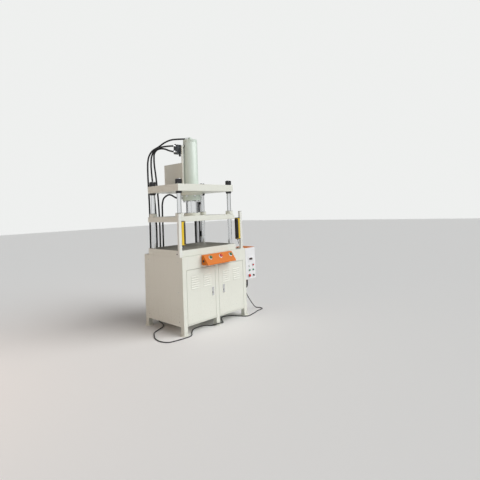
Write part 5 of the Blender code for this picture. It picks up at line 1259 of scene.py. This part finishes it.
@dataclass
class OilSupply(Assembly):
    """Header tank, fill valve and suction pipe on the crown, and the hoses."""

    hose_radius: float = 0.0106
    hose_step: float = 0.012
    ferrule: float = 0.041
    crimp_pitch: float = 0.0080
    hose_y: float = 0.690
    boss_port: float = 2.328
    head_port: float = 1.5639
    valve_side: float = 0.3057
    valve_top: float = 2.250
    lid_top: float = 2.024
    pipe_x: float = 0.334
    pipe_y: float = 0.356
    pipe_foot: float = 1.7198
    pipe_top: float = 2.225
    pipe_bend: float = 0.018
    pipe_radius: float = 0.0118

    def build(self) -> None:
        """Dresses the supply and runs its hoses."""
        self.dress(CREAM, "header_tank")
        self.dress(IRON, "fill_valve")
        self._tank_lid()
        self._suction_pipe()
        self._valve_details()
        for name, route in self._routes().items():
            self._hose(name, route)

    def _tank_lid(self) -> None:
        """Fits the header tank's lid with its screws, and the level glass at the back."""
        top = self.lid_top
        lid = Bench.block("tank_lid", spot(0.381, 0.431, top - 0.0035), spot(0.525, 0.811, top), 0.0010)
        self.fit(lid, CREAM)
        places = grid((0.390, 0.516), (0.442, 0.560, 0.680, 0.800), (top,), UP)
        self.scatter("lid_screws", BRIGHT, Fastener.pan_screw(0.0045), places)
        glass = Bench.block("level_glass", spot(0.440, 0.808, 1.780), spot(0.466, 0.8134, 1.940), 0.0012)
        Bench.step_face(glass, BACK, ((0.007, -0.0015), (0.001, 0.0008)))
        self.fit(glass, GLASS_DARK)

    def _suction_pipe(self) -> None:
        """Bends the suction pipe into the barrel, with a union at each end."""
        x, y, bend, top = self.pipe_x, self.pipe_y, self.pipe_bend, self.pipe_top
        toward = (Vector((*AXIS, 0.0)) - Vector((x, y, 0.0))).normalized()
        corner, foot = spot(x, y, top), spot(x, y, self.pipe_foot)
        arc = [
            corner - UP * bend * (1 - math.sin(turn)) + toward * bend * (1 - math.cos(turn))
            for turn in (math.radians(10 * step) for step in range(10))
        ]
        port = spot(*AXIS, top) - toward * 0.0903
        pipe = Bench.tube("suction_tube", [foot, *arc, port], self.pipe_radius, sides=32)
        self.fit(pipe, CREAM, stands_for=("suction_pipe",))
        hole, rim = self.pipe_radius + SKIN, 0.0155
        union = ((hole, 0.022), (rim, 0.020), (rim, 0.000), (hole, 0.000))
        self.turn("suction_foot", BLACKED, union, foot, UP, 6)
        mouth = ((hole, 0.009), (rim, 0.009), (0.0165, 0.008), (0.0165, 0.001), (hole, 0.001))
        self.turn("suction_mouth", BLACKED, mouth, port, -toward, 48)

    def _valve_details(self) -> None:
        """Screws the fill valve together, and gives it its knob, coil and stub."""
        top = self.valve_top
        places = grid((0.313, 0.363), (0.418, 0.486), (top,), UP)
        places += grid((0.358,), (0.410,), (2.150, 2.236), FRONT)
        self.scatter("valve_screws", BRIGHT, Fastener.socket_screw(0.0042, 0.0045), places)
        knob = (
            (0.0, 0.0142), (0.0108, 0.0142), (0.0122, 0.0128), (0.0122, 0.0040), (0.0100, 0.0028),
            (0.0070, 0.0), (0.0, 0.0),
        )
        self.turn("valve_knob", BLACK_PLASTIC, knob, spot(0.322, 0.475, top), sides=18)
        coil = (
            (0.0, -0.0325), (0.0060, -0.0325), (0.0070, -0.0300), (0.0122, -0.0290), (0.0133, -0.0275),
            (0.0133, -0.0010), (0.0, -0.0010),
        )
        self.turn("valve_coil", BLACK_PLASTIC, coil, spot(0.3525, 0.4275, 2.135), sides=48)
        stub = (
            (0.0, 0.0414), (0.0093, 0.0414), (0.0093, 0.0135), (0.0130, 0.0120), (0.0130, 0.0), (0.0, 0.0),
        )
        self.turn("valve_stub", IRON, stub, spot(self.pipe_x, 0.410, 2.165), FRONT, 48)

    @staticmethod
    def _port(angle: float, radius: float, height: float, reach: float) -> list[Vector]:
        """Leads a hose straight out of a port on the side of a turned part on the press's axis.

        Args:
            angle: the port's angle in degrees from -X towards the back.
            radius: its distance from the axis.
            height: its height.
            reach: how far the hose runs straight.

        Returns:
            The route's first two points.
        """
        turn = math.radians(angle)
        way = Vector((-math.cos(turn), math.sin(turn), 0.0))
        start = spot(*AXIS, height) + way * radius
        return [start, start + way * reach]

    def _routes(self) -> dict[str, list[Vector]]:
        """Lists the hoses' routes.

        Returns:
            Each route's points by the name of the hose's solid.
        """
        side, y = self.valve_side, self.hose_y
        cylinder = (
            (0.365, 0.433, 2.328), (0.330, 0.468, 2.327), (0.300, 0.496, 2.324), (0.270, 0.520, 2.315),
            (0.210, 0.550, 2.283), (0.149, 0.600, 2.227), (0.090, 0.650, 2.178), (0.060, 0.680, 2.114),
            (0.045, y, 2.034), (0.041, y, 1.960), (0.041, y, 1.860), (0.046, y, 1.700), (0.052, y, 1.500),
            (0.054, y, 1.200), (0.054, y, 0.960), (0.054, y, DECK),
        )
        upper = (
            (side, 0.450, 2.232), (side - 0.040, 0.450, 2.232), (0.200, 0.482, 2.226), (0.137, 0.520, 2.214),
            (0.086, 0.580, 2.184), (0.074, 0.640, 2.113), (0.083, 0.675, 2.010), (0.096, y, 1.914),
            (0.108, y, 1.780), (0.128, y, 1.600), (0.145, y, 1.350), (0.150, y, 1.000), (0.150, y, DECK),
        )
        lower = (
            (side, 0.445, 2.160), (side - 0.036, 0.445, 2.160), (0.217, 0.470, 2.171), (0.175, 0.500, 2.191),
            (0.140, 0.540, 2.197), (0.115, 0.580, 2.186), (0.104, 0.625, 2.146), (0.119, 0.660, 2.080),
            (0.143, y, 1.990), (0.155, y, 1.902), (0.172, y, 1.740), (0.190, y, 1.500), (0.200, y, 1.200),
            (0.200, y, DECK),
        )
        head = (
            (0.285, 0.440, 1.572), (0.262, 0.500, 1.606), (0.268, 0.560, 1.617), (0.266, 0.620, 1.606),
            (0.254, 0.662, 1.575), (0.246, 0.684, 1.510), (0.246, y, 1.400), (0.248, y, 1.150),
            (0.248, y, DECK),
        )
        boss_port = self._port(48.0, 0.0223, self.boss_port, 0.045)
        head_port = self._port(30.0, 0.1178, self.head_port, 0.036)
        return {
            "cylinder_hose": boss_port + [spot(*point) for point in cylinder],
            "upper_valve_hose": [spot(*point) for point in upper],
            "lower_valve_hose": [spot(*point) for point in lower],
            "head_hose": head_port + [spot(*point) for point in head],
        }

    def _hose(self, name: str, route: list[Vector]) -> None:
        """Runs a hose with a crimped ferrule and a hexagon union at each end.

        Args:
            name: the name of the hose's solid.
            route: its route.
        """
        line = along_route(route, self.hose_step)
        self.fit(Bench.tube(f"{name}_body", line, self.hose_radius, sides=20), RUBBER, stands_for=(name,))
        fine = along_route(route, self.hose_step / 10)
        self._ferrule(f"{name}_top", fine)
        self._ferrule(f"{name}_foot", fine[::-1])

    def _ferrule(self, name: str, points: list[Vector]) -> None:
        """Crimps a ferrule and a hexagon union on the start of a line.

        Args:
            name: the start of the pieces' names.
            points: close points, from the union inwards.
        """
        neck, valley, crest, tail = 1.12, 1.26, 1.33, 1.20
        inner, widths, reach = [points[0]], [neck], 0.0
        for before, after in zip(points, points[1:]):
            reach += (after - before).length
            if reach > self.ferrule:
                break
            inner.append(after)
            crimped = math.sin(math.tau * reach / self.crimp_pitch) > 0.3
            widths.append(neck if reach < 0.003 else valley if crimped else crest)
        widths[-1] = tail
        self.fit(Bench.tube(f"{name}_ferrule", inner, self.hose_radius, widths, 32), BRIGHT)
        union = ((0.0, 0.0125), (0.0128, 0.0125), (0.0140, 0.0110), (0.0140, 0.0002), (0.0, 0.0002))
        self.turn(f"{name}_union", STEEL, union, points[0], points[1] - points[0], 6)


@dataclass
class LimitRail(Assembly):
    """The stroke limit rail behind the table with its switches."""

    screw_x: float = 0.830
    screw_y: float = 0.682
    switch_x: float = 0.8978
    switch_y: float = 0.6716
    roller_y: float = 0.6684
    half_width: float = 0.0175
    half_depth: float = 0.0122
    switch_height: float = 0.070

    def build(self) -> None:
        """Dresses the rail and adds its screws and switches."""
        self.dress(ALUMINIUM, "limit_rail")
        self.dress(BLACKED, "switch_channel", "trip_cam")
        self.dress(BLACK_PLASTIC, "rail_conduit")
        places = grid((self.screw_x,), (self.screw_y,), (0.960, 1.110, 1.260, 1.410, 1.560), FRONT)
        self.scatter("rail_screws", BRIGHT, Fastener.socket_screw(0.0045, 0.0040), places)
        self._switch("switch_1", 1.040)
        self._switch("switch_2", 1.500)

    def _switch(self, name: str, height: float) -> None:
        """Builds up a limit switch on its channel: housing, cover screws and roller.

        Args:
            name: the start of the pieces' names.
            height: the foot of its housing.
        """
        x, y = self.switch_x, self.switch_y
        low = spot(x - self.half_width, y - self.half_depth, height - SKIN)
        high = spot(x + self.half_width, y + self.half_depth, height + self.switch_height + SKIN)
        housing = Bench.block(f"{name}_housing", low, high, 0.0025, 3)
        Bench.step_face(housing, FRONT, ((0.003, 0.0), (0.0006, -0.0008)))
        self.fit(housing, BLACK_PLASTIC)
        places = grid((x - 0.011, x + 0.011), (y - 0.0106,), (height + 0.012, height + 0.058), FRONT)
        self.scatter(f"{name}_screws", BRIGHT, Fastener.pan_screw(0.0028), places)
        wheel = (
            (0.0, 0.0040), (0.0085, 0.0040), (0.0092, 0.0032), (0.0092, -0.0032), (0.0085, -0.0040),
            (0.0, -0.0040),
        )
        at = spot(x - 0.010, self.roller_y, height - 0.0054)
        self.turn(f"{name}_roller", BRASS, wheel, at, RIGHT, 32)


@dataclass
class LightCurtain(Assembly):
    """The two posts and the light-curtain heads on them."""

    base: float = 1.010
    height: float = 0.280
    width: float = 0.052
    depth: float = 0.045
    post_top: float = 1.3700
    post_width: float = 0.040
    post_depth: float = 0.030
    cap_height: float = 0.010
    lens_pitch: float = 0.028

    def build(self) -> None:
        """Dresses the posts, caps and screws them, and details the heads."""
        self.dress(WHITE, "left_post", "right_post")
        self.dress(YELLOW, "left_light_curtain", "right_light_curtain")
        self._head("left", -0.0027, -0.015, 1)
        self._head("right", 0.9797, 0.003, -1)
        for side, x, y in (("left", -0.043, -0.012), ("right", 0.980, 0.0)):
            low = spot(x - SKIN, y - SKIN, self.post_top)
            high = spot(x + self.post_width + SKIN, y + self.post_depth + SKIN, self.post_top + 0.005)
            self.fit(Bench.block(f"{side}_post_cap", low, high), BLACK_PLASTIC)
        bolts = grid((-0.0083,), (0.042, 0.074), (0.914,), LEFT)
        bolts += grid((1.027,), (0.016, 0.062), (0.8883,), UP)
        bolts += grid((0.983,), (0.062,), (0.8883,), UP)
        self.scatter("post_screws", BLACKED, Fastener.socket_screw(0.0060, 0.0060), bolts)

    def _head(self, side: str, near: float, front: float, way: int) -> None:
        """Gives a head its end caps, shroud, window, lenses, cable and gland.

        Args:
            side: left or right.
            near: the X of the side at its post.
            front: the Y of its front face.
            way: +1 if its window looks to +X, -1 if to -X.
        """
        name, far = f"{side}_head", near + way * self.width
        back, base, top = front + self.depth, self.base, self.base + self.height
        middle, outward, proud = (front + back) / 2, RIGHT * way, 0.0004
        low_x, high_x = sorted((near, far))
        for end, low, high in (
            ("lower", base - proud, base + self.cap_height),
            ("upper", top - self.cap_height, top + proud),
        ):
            low, high = spot(low_x - proud, front - proud, low), spot(high_x + proud, back + proud, high)
            self.fit(Bench.block(f"{name}_{end}_cap", low, high, 0.003, 3), BLACK_PLASTIC)
        low_x, high_x = sorted((far - way * 0.024, far + way * 0.0006))
        low, high = spot(low_x, front - 0.0008, base + 0.012), spot(high_x, back + SKIN, top - 0.012)
        shroud = Bench.block(f"{name}_shroud", low, high, 0.002)
        Bench.step_face(shroud, outward, ((0.010, -0.002),))
        self.fit(shroud, BLACK_PLASTIC)
        low_x, high_x = sorted((far - way * 0.0016, far - way * 0.0006))
        low, high = spot(low_x, middle - 0.0125, base + 0.024), spot(high_x, middle + 0.0125, top - 0.024)
        self.fit(Bench.block(f"{name}_window", low, high, 0.0004), GLASS_DARK)
        heights = [base + 0.042 + self.lens_pitch * step for step in range(8)]
        lens = Bench.turned("lens", ((0.0, 0.0005), (0.0040, 0.0003), (0.0062, 0.0), (0.0, 0.0)), sides=20)
        places = grid((far - way * 0.0006,), (middle,), heights, outward)
        self.scatter(f"{name}_lenses", GLASS_DARK, lens, places)
        x = (near + far) / 2
        cable = [
            spot(x, middle, base - 0.0002),
            spot(x, middle, base - 0.020),
            spot(near + way * 0.012, middle + 0.008, base - 0.045),
            spot(near + way * 0.004, middle + 0.012, base - 0.066),
        ]
        self.fit(Bench.tube(f"{name}_cable", along_route(cable, 0.004), 0.0028, sides=12), RUBBER)
        gland = ((0.0, 0.014), (0.0040, 0.014), (0.0065, 0.010), (0.0075, 0.009), (0.0075, 0.0), (0.0, 0.0))
        self.turn(f"{name}_gland", BLACK_PLASTIC, gland, spot(x, middle, base - proud), DOWN, 24)


@dataclass
class Controls(Assembly):
    """The two-hand box and the control box with their buttons."""

    hand_middle: float = 0.5455
    hand_spread: float = 0.170
    hand_ends: tuple[float, float] = (0.286, 0.765)
    slope_top: Point = (-0.035, 0.875)
    slope_foot: Point = (-0.113, 0.767)
    slope_shift: float = 0.0235
    panel_right: float = 1.2603
    large_ring: tuple[float, float, float] = (0.026, 0.0092, 0.004)
    small_ring: tuple[float, float, float] = (0.0150, 0.0072, 0.003)

    def build(self) -> None:
        """Dresses both boxes and fits their buttons."""
        self.dress(ORANGE, "two_hand_box", "control_box")
        self.dress(PANEL_WHITE, "control_panel")
        self._hand_buttons()
        self._hand_box_details()
        self._panel_buttons()
        self._panel_details()
        self._conduit()

    def _bezel(self, name: str, at: Vector, out: Vector, size: tuple[float, float, float]) -> None:
        """Turns the steel ring round a button.

        Args:
            name: the button's name.
            at: the place on the face.
            out: the way that it stands out.
            size: its outer radius, inner radius and height.
        """
        outer, hole, height = size
        ring = (
            (hole, height + SKIN), (outer - 0.0022, height + SKIN), (outer + SKIN, height - 0.0012),
            (outer + SKIN, 0.0), (hole, 0.0),
        )
        self.turn(f"{name}_ring", STEEL, ring, at, out)

    def _mushroom(
        self, name: str, body: Body, finish: Finish, at: Vector, out: Vector, travel: float
    ) -> None:
        """Turns a mushroom cap with its stem, and the ring round it.

        Args:
            name: the solid's name.
            body: its body.
            finish: its finish.
            at: the place on the face behind it.
            out: the way that it stands out.
            travel: how far it is pushed.
        """
        base = self.large_ring[2] + travel + 0.001
        cap = (
            (0.0, base + 0.0140), (0.0060, base + 0.0137), (0.0110, base + 0.0125), (0.0155, base + 0.0100),
            (0.0185, base + 0.0065), (0.0200, base + 0.0022), (0.0197, base + 0.0004), (0.0188, base),
            (0.0110, base), (0.0070, base - 0.001), (0.0070, -0.010), (0.0, -0.010),
        )
        self.turn(f"{name}_cap", finish, cap, at, out, body=body, stands_for=(name,))
        self._bezel(name, at, out, self.large_ring)

    def _hand_buttons(self) -> None:
        """Fits the two run buttons and the stop on the two-hand box's slanted face."""
        top, foot = Vector((0.0, *self.slope_top)), Vector((0.0, *self.slope_foot))
        down = (foot - top).normalized()
        face = (top + foot) / 2 - down * self.slope_shift
        out = Vector((0.0, down.z, -down.y))
        for name, body, finish, step, travel in (
            ("left_run_button", Body.LEFT_RUN, RUN_GREEN, -1, 0.005),
            ("two_hand_stop", Body.HAND_STOP, RED, 0, 0.004),
            ("right_run_button", Body.RIGHT_RUN, RUN_GREEN, 1, 0.005),
        ):
            at = spot(self.hand_middle + step * self.hand_spread, face.y, face.z)
            self._mushroom(name, body, finish, at, out, travel)

    def _hand_box_details(self) -> None:
        """Screws the two-hand box's ends and plugs its side hole."""
        left, right = self.hand_ends
        plug = (
            (0.0, 0.0030), (0.0125, 0.0030), (0.0145, 0.0015), (0.0145, 0.0), (0.0118, 0.0), (0.0118, -0.005),
            (0.0, -0.005),
        )
        self.turn("hand_box_plug", BLACK_PLASTIC, plug, spot(left, -0.037, 0.805), LEFT, 48)
        corners = ((-0.012, 0.775), (-0.012, 0.862), (-0.092, 0.775))
        places = [(spot(x, y, z), way) for x, way in ((left, LEFT), (right, RIGHT)) for y, z in corners]
        self.scatter("hand_box_screws", BRIGHT, Fastener.pan_screw(0.0035), places)

    def _panel_buttons(self) -> None:
        """Fits the control panel's push buttons, stop and selector."""
        cap = (
            (0.0, 0.0130), (0.0080, 0.0132), (0.0098, 0.0138), (0.0110, 0.0128), (0.0110, 0.0072),
            (0.0050, 0.0070), (0.0050, -0.012), (0.0, -0.012),
        )
        for name, body, finish, x, z in (
            ("white_button", Body.WHITE, LAMP_WHITE, 1.132, 0.636),
            ("red_button", Body.RED, RED, 1.205, 0.642),
            ("left_green_button", Body.LEFT_GREEN, GREEN, 1.131, 0.578),
            ("right_green_button", Body.RIGHT_GREEN, GREEN, 1.206, 0.578),
        ):
            at = spot(x, 0.0, z)
            self.turn(f"{name}_cap", finish, cap, at, FRONT, 48, body, (name,))
            self._bezel(name, at, FRONT, self.small_ring)
        self._mushroom("panel_stop", Body.PANEL_STOP, RED, spot(1.126, 0.0, 0.508), FRONT, 0.004)
        self.dress(BLACK_PLASTIC, "selector_knob")
        self._bezel("selector", spot(1.209, 0.0, 0.504), FRONT, self.small_ring)
        low, high = spot(1.2083, -0.0210, 0.5060), spot(1.2097, -0.0202, 0.5155)
        self.fit(Bench.block("selector_mark", low, high, 0.0003), PANEL_WHITE, Body.SELECTOR)

    def _panel_details(self) -> None:
        """Frames the display and screws the panel and the box."""
        low, high = spot(1.116, -0.0035, 0.694), spot(1.216, 0.0005, 0.756)
        bezel = Bench.block("display_frame", low, high, 0.001)
        Bench.step_face(bezel, FRONT, ((0.016, -0.0018),))
        self.fit(bezel, PANEL_WHITE)
        low, high = spot(1.1325, -0.0022, 0.7105), spot(1.1995, -0.0012, 0.7395)
        self.fit(Bench.block("display_glass", low, high, 0.0003), GLASS_DARK)
        places = grid((1.0680, 1.2500), (0.0,), (0.4640, 0.8680), FRONT)
        places += grid((self.panel_right,), (0.020, 0.205), (0.475, 0.860), RIGHT)
        self.scatter("panel_screws", BRIGHT, Fastener.pan_screw(0.0035), places)

    def _conduit(self) -> None:
        """Bends the ribbed conduit from the control box to the cabinet's side."""
        top, side, y, bend = 0.4547, CABINET_WIDTH + SKIN, 0.0275, 0.036
        middle, z = side + 0.012, top - 0.100
        arc = [
            spot(middle + bend * math.cos(turn), y, z + bend * (1 - math.sin(turn)))
            for turn in (math.radians(15 * step) for step in range(1, 7))
        ]
        route = [spot(side + 0.048, y, top), spot(side + 0.048, y, z + bend + 0.004), *arc, spot(side, y, z)]
        line = along_route(route, 0.0022)
        widths = [1.0 if index % 2 else 0.86 for index in range(len(line))]
        pipe = Bench.tube("ribbed_conduit", line, 0.0118, widths, 32)
        self.fit(pipe, RUBBER, stands_for=("cable_conduit",))


@dataclass
class SupplyCord(Assembly):
    """The supply cord with its gland, coil and plug."""

    radius: float = 0.0055
    step: float = 0.012
    exit_point: Point = (1.170, 0.130, 0.4204)
    coil_middle: Point = (0.300, 0.870)
    lanes: tuple[float, float] = (0.0635, 0.0515)
    steps: int = 14
    crossing: float = 0.4
    way_out: float = 0.0490
    coil_edge: float = 0.0703
    plug_height: float = 0.0243
    floor: float = 0.0058

    def build(self) -> None:
        """Lays the cord, and dresses its gland and plug."""
        self.dress(BLACK_PLASTIC, "cord_gland", "plug")
        line = along_route(self.route(), self.step)
        flex = Bench.line("supply_flex", line, self.radius)
        flex.data.materials.append(self.palette.material(RUBBER))
        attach(flex, Body.PRESS.value)
        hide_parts("supply_cord", "cord_coil")

    def route(self) -> list[Vector]:
        """Leads the cord down from the gland, past the three front feet and round to the coil.

        Returns:
            The route's points.
        """
        low = self.floor
        foot = 0.010 + low
        laid = [
            self.exit_point, (1.172, 0.130, 0.350), (1.205, 0.130, 0.230), (1.262, 0.130, 0.145),
            (1.318, 0.128, 0.073), (1.3615, 0.124, 0.0245), (1.3898, 0.1164, 0.0095), (1.4104, 0.0958, low),
            (1.418, 0.0675, low), (1.4104, 0.0393, low), (1.3898, 0.0186, low), (1.3615, 0.011, low),
            (1.287, 0.005, low), (1.140, -0.035, low), (1.004, -0.048, low), (0.944, 0.037, low),
            (0.885, 0.150, low), (0.785, 0.190, low), (0.690, 0.110, low), (0.612, 0.010, low + 0.001),
            (0.560, -0.012, foot + 0.006), (0.518, -0.014, foot + 0.008), (0.499, -0.008, foot + 0.0065),
            (0.4817, 0.0022, foot + 0.003), (0.4668, 0.0156, foot), (0.4551, 0.033, low + 0.004),
            (0.412, 0.110, low), (0.341, 0.130, low), (0.240, 0.122, low), (0.140, 0.040, low),
            (0.060, -0.042, low), (-0.040, -0.046, low), (-0.135, -0.034, low), (-0.222, -0.004, low),
            (-0.257, 0.079, low), (-0.248, 0.184, low), (-0.188, 0.308, low), (-0.118, 0.400, low),
            (-0.030, 0.444, low), (0.058, 0.490, low), (0.112, 0.550, low), (0.150, 0.635, low),
            (0.172, 0.715, low), (0.200, 0.780, low), (0.228, 0.828, low),
        ]
        return [spot(*point) for point in laid] + self._coil()

    def _coil(self) -> list[Vector]:
        """Winds four turns clockwise from the coil's left, and leads out over them to the plug.

        Returns:
            The coil's points.
        """
        outer, inner = self.lanes
        low, high, over = (self.floor + 2 * self.radius * layer for layer in range(3))
        turns = ((outer, low), (inner, low), (inner, high), (outer, high), (outer, over))
        x, y = self.coil_middle
        points = []
        for step in range((len(turns) - 1) * self.steps):
            number, place = divmod(step, self.steps)
            (radius, height), (next_radius, next_height) = turns[number], turns[number + 1]
            blend = max(0.0, place / self.steps - (1 - self.crossing)) / self.crossing
            blend = blend * blend * (3 - 2 * blend)
            radius += (next_radius - radius) * blend
            height += (next_height - height) * blend
            points.append(self._round(x, y, radius, 180 - 360 * place / self.steps, height))
        bend, plug = self.way_out, x + self.coil_edge
        points += [self._round(x - outer + bend, y, bend, turn, over) for turn in range(180, 29, -15)]
        points += [self._round(plug, y + bend, bend, turn, over) for turn in (225, 240, 255)]
        return [*points, spot(plug, y, over - 0.001), spot(plug + 0.015, y, self.plug_height)]

    @staticmethod
    def _round(x: float, y: float, radius: float, turn: float, z: float) -> Vector:
        """The place at an angle in degrees on a level circle."""
        angle = math.radians(turn)
        return spot(x + radius * math.cos(angle), y + radius * math.sin(angle), z)


@dataclass
class PowerUnit(Assembly):
    """What stands in the cabinet."""

    def build(self) -> None:
        """Dresses the tank, motor, pump and valves."""
        self.dress(OIL_TANK, "oil_tank")
        self.dress(MOTOR_BLUE, "electric_motor")
        self.dress(IRON, "hydraulic_pump")
        self.dress(BLACKED, "valve_block")


def main() -> None:
    """Builds the studio and every sub-assembly in order."""
    logging.basicConfig(level=logging.INFO, format="%(name)s: %(message)s")
    palette = Palette()
    Studio().build()
    for kind in (
        SupplyCord, Cabinet, Columns, Cylinder, OilSupply, LimitRail, LightCurtain, Controls, PowerUnit,
    ):
        LOG.info("building %s", kind.__name__)
        kind(palette).build()


if __name__ == "__main__":
    main()
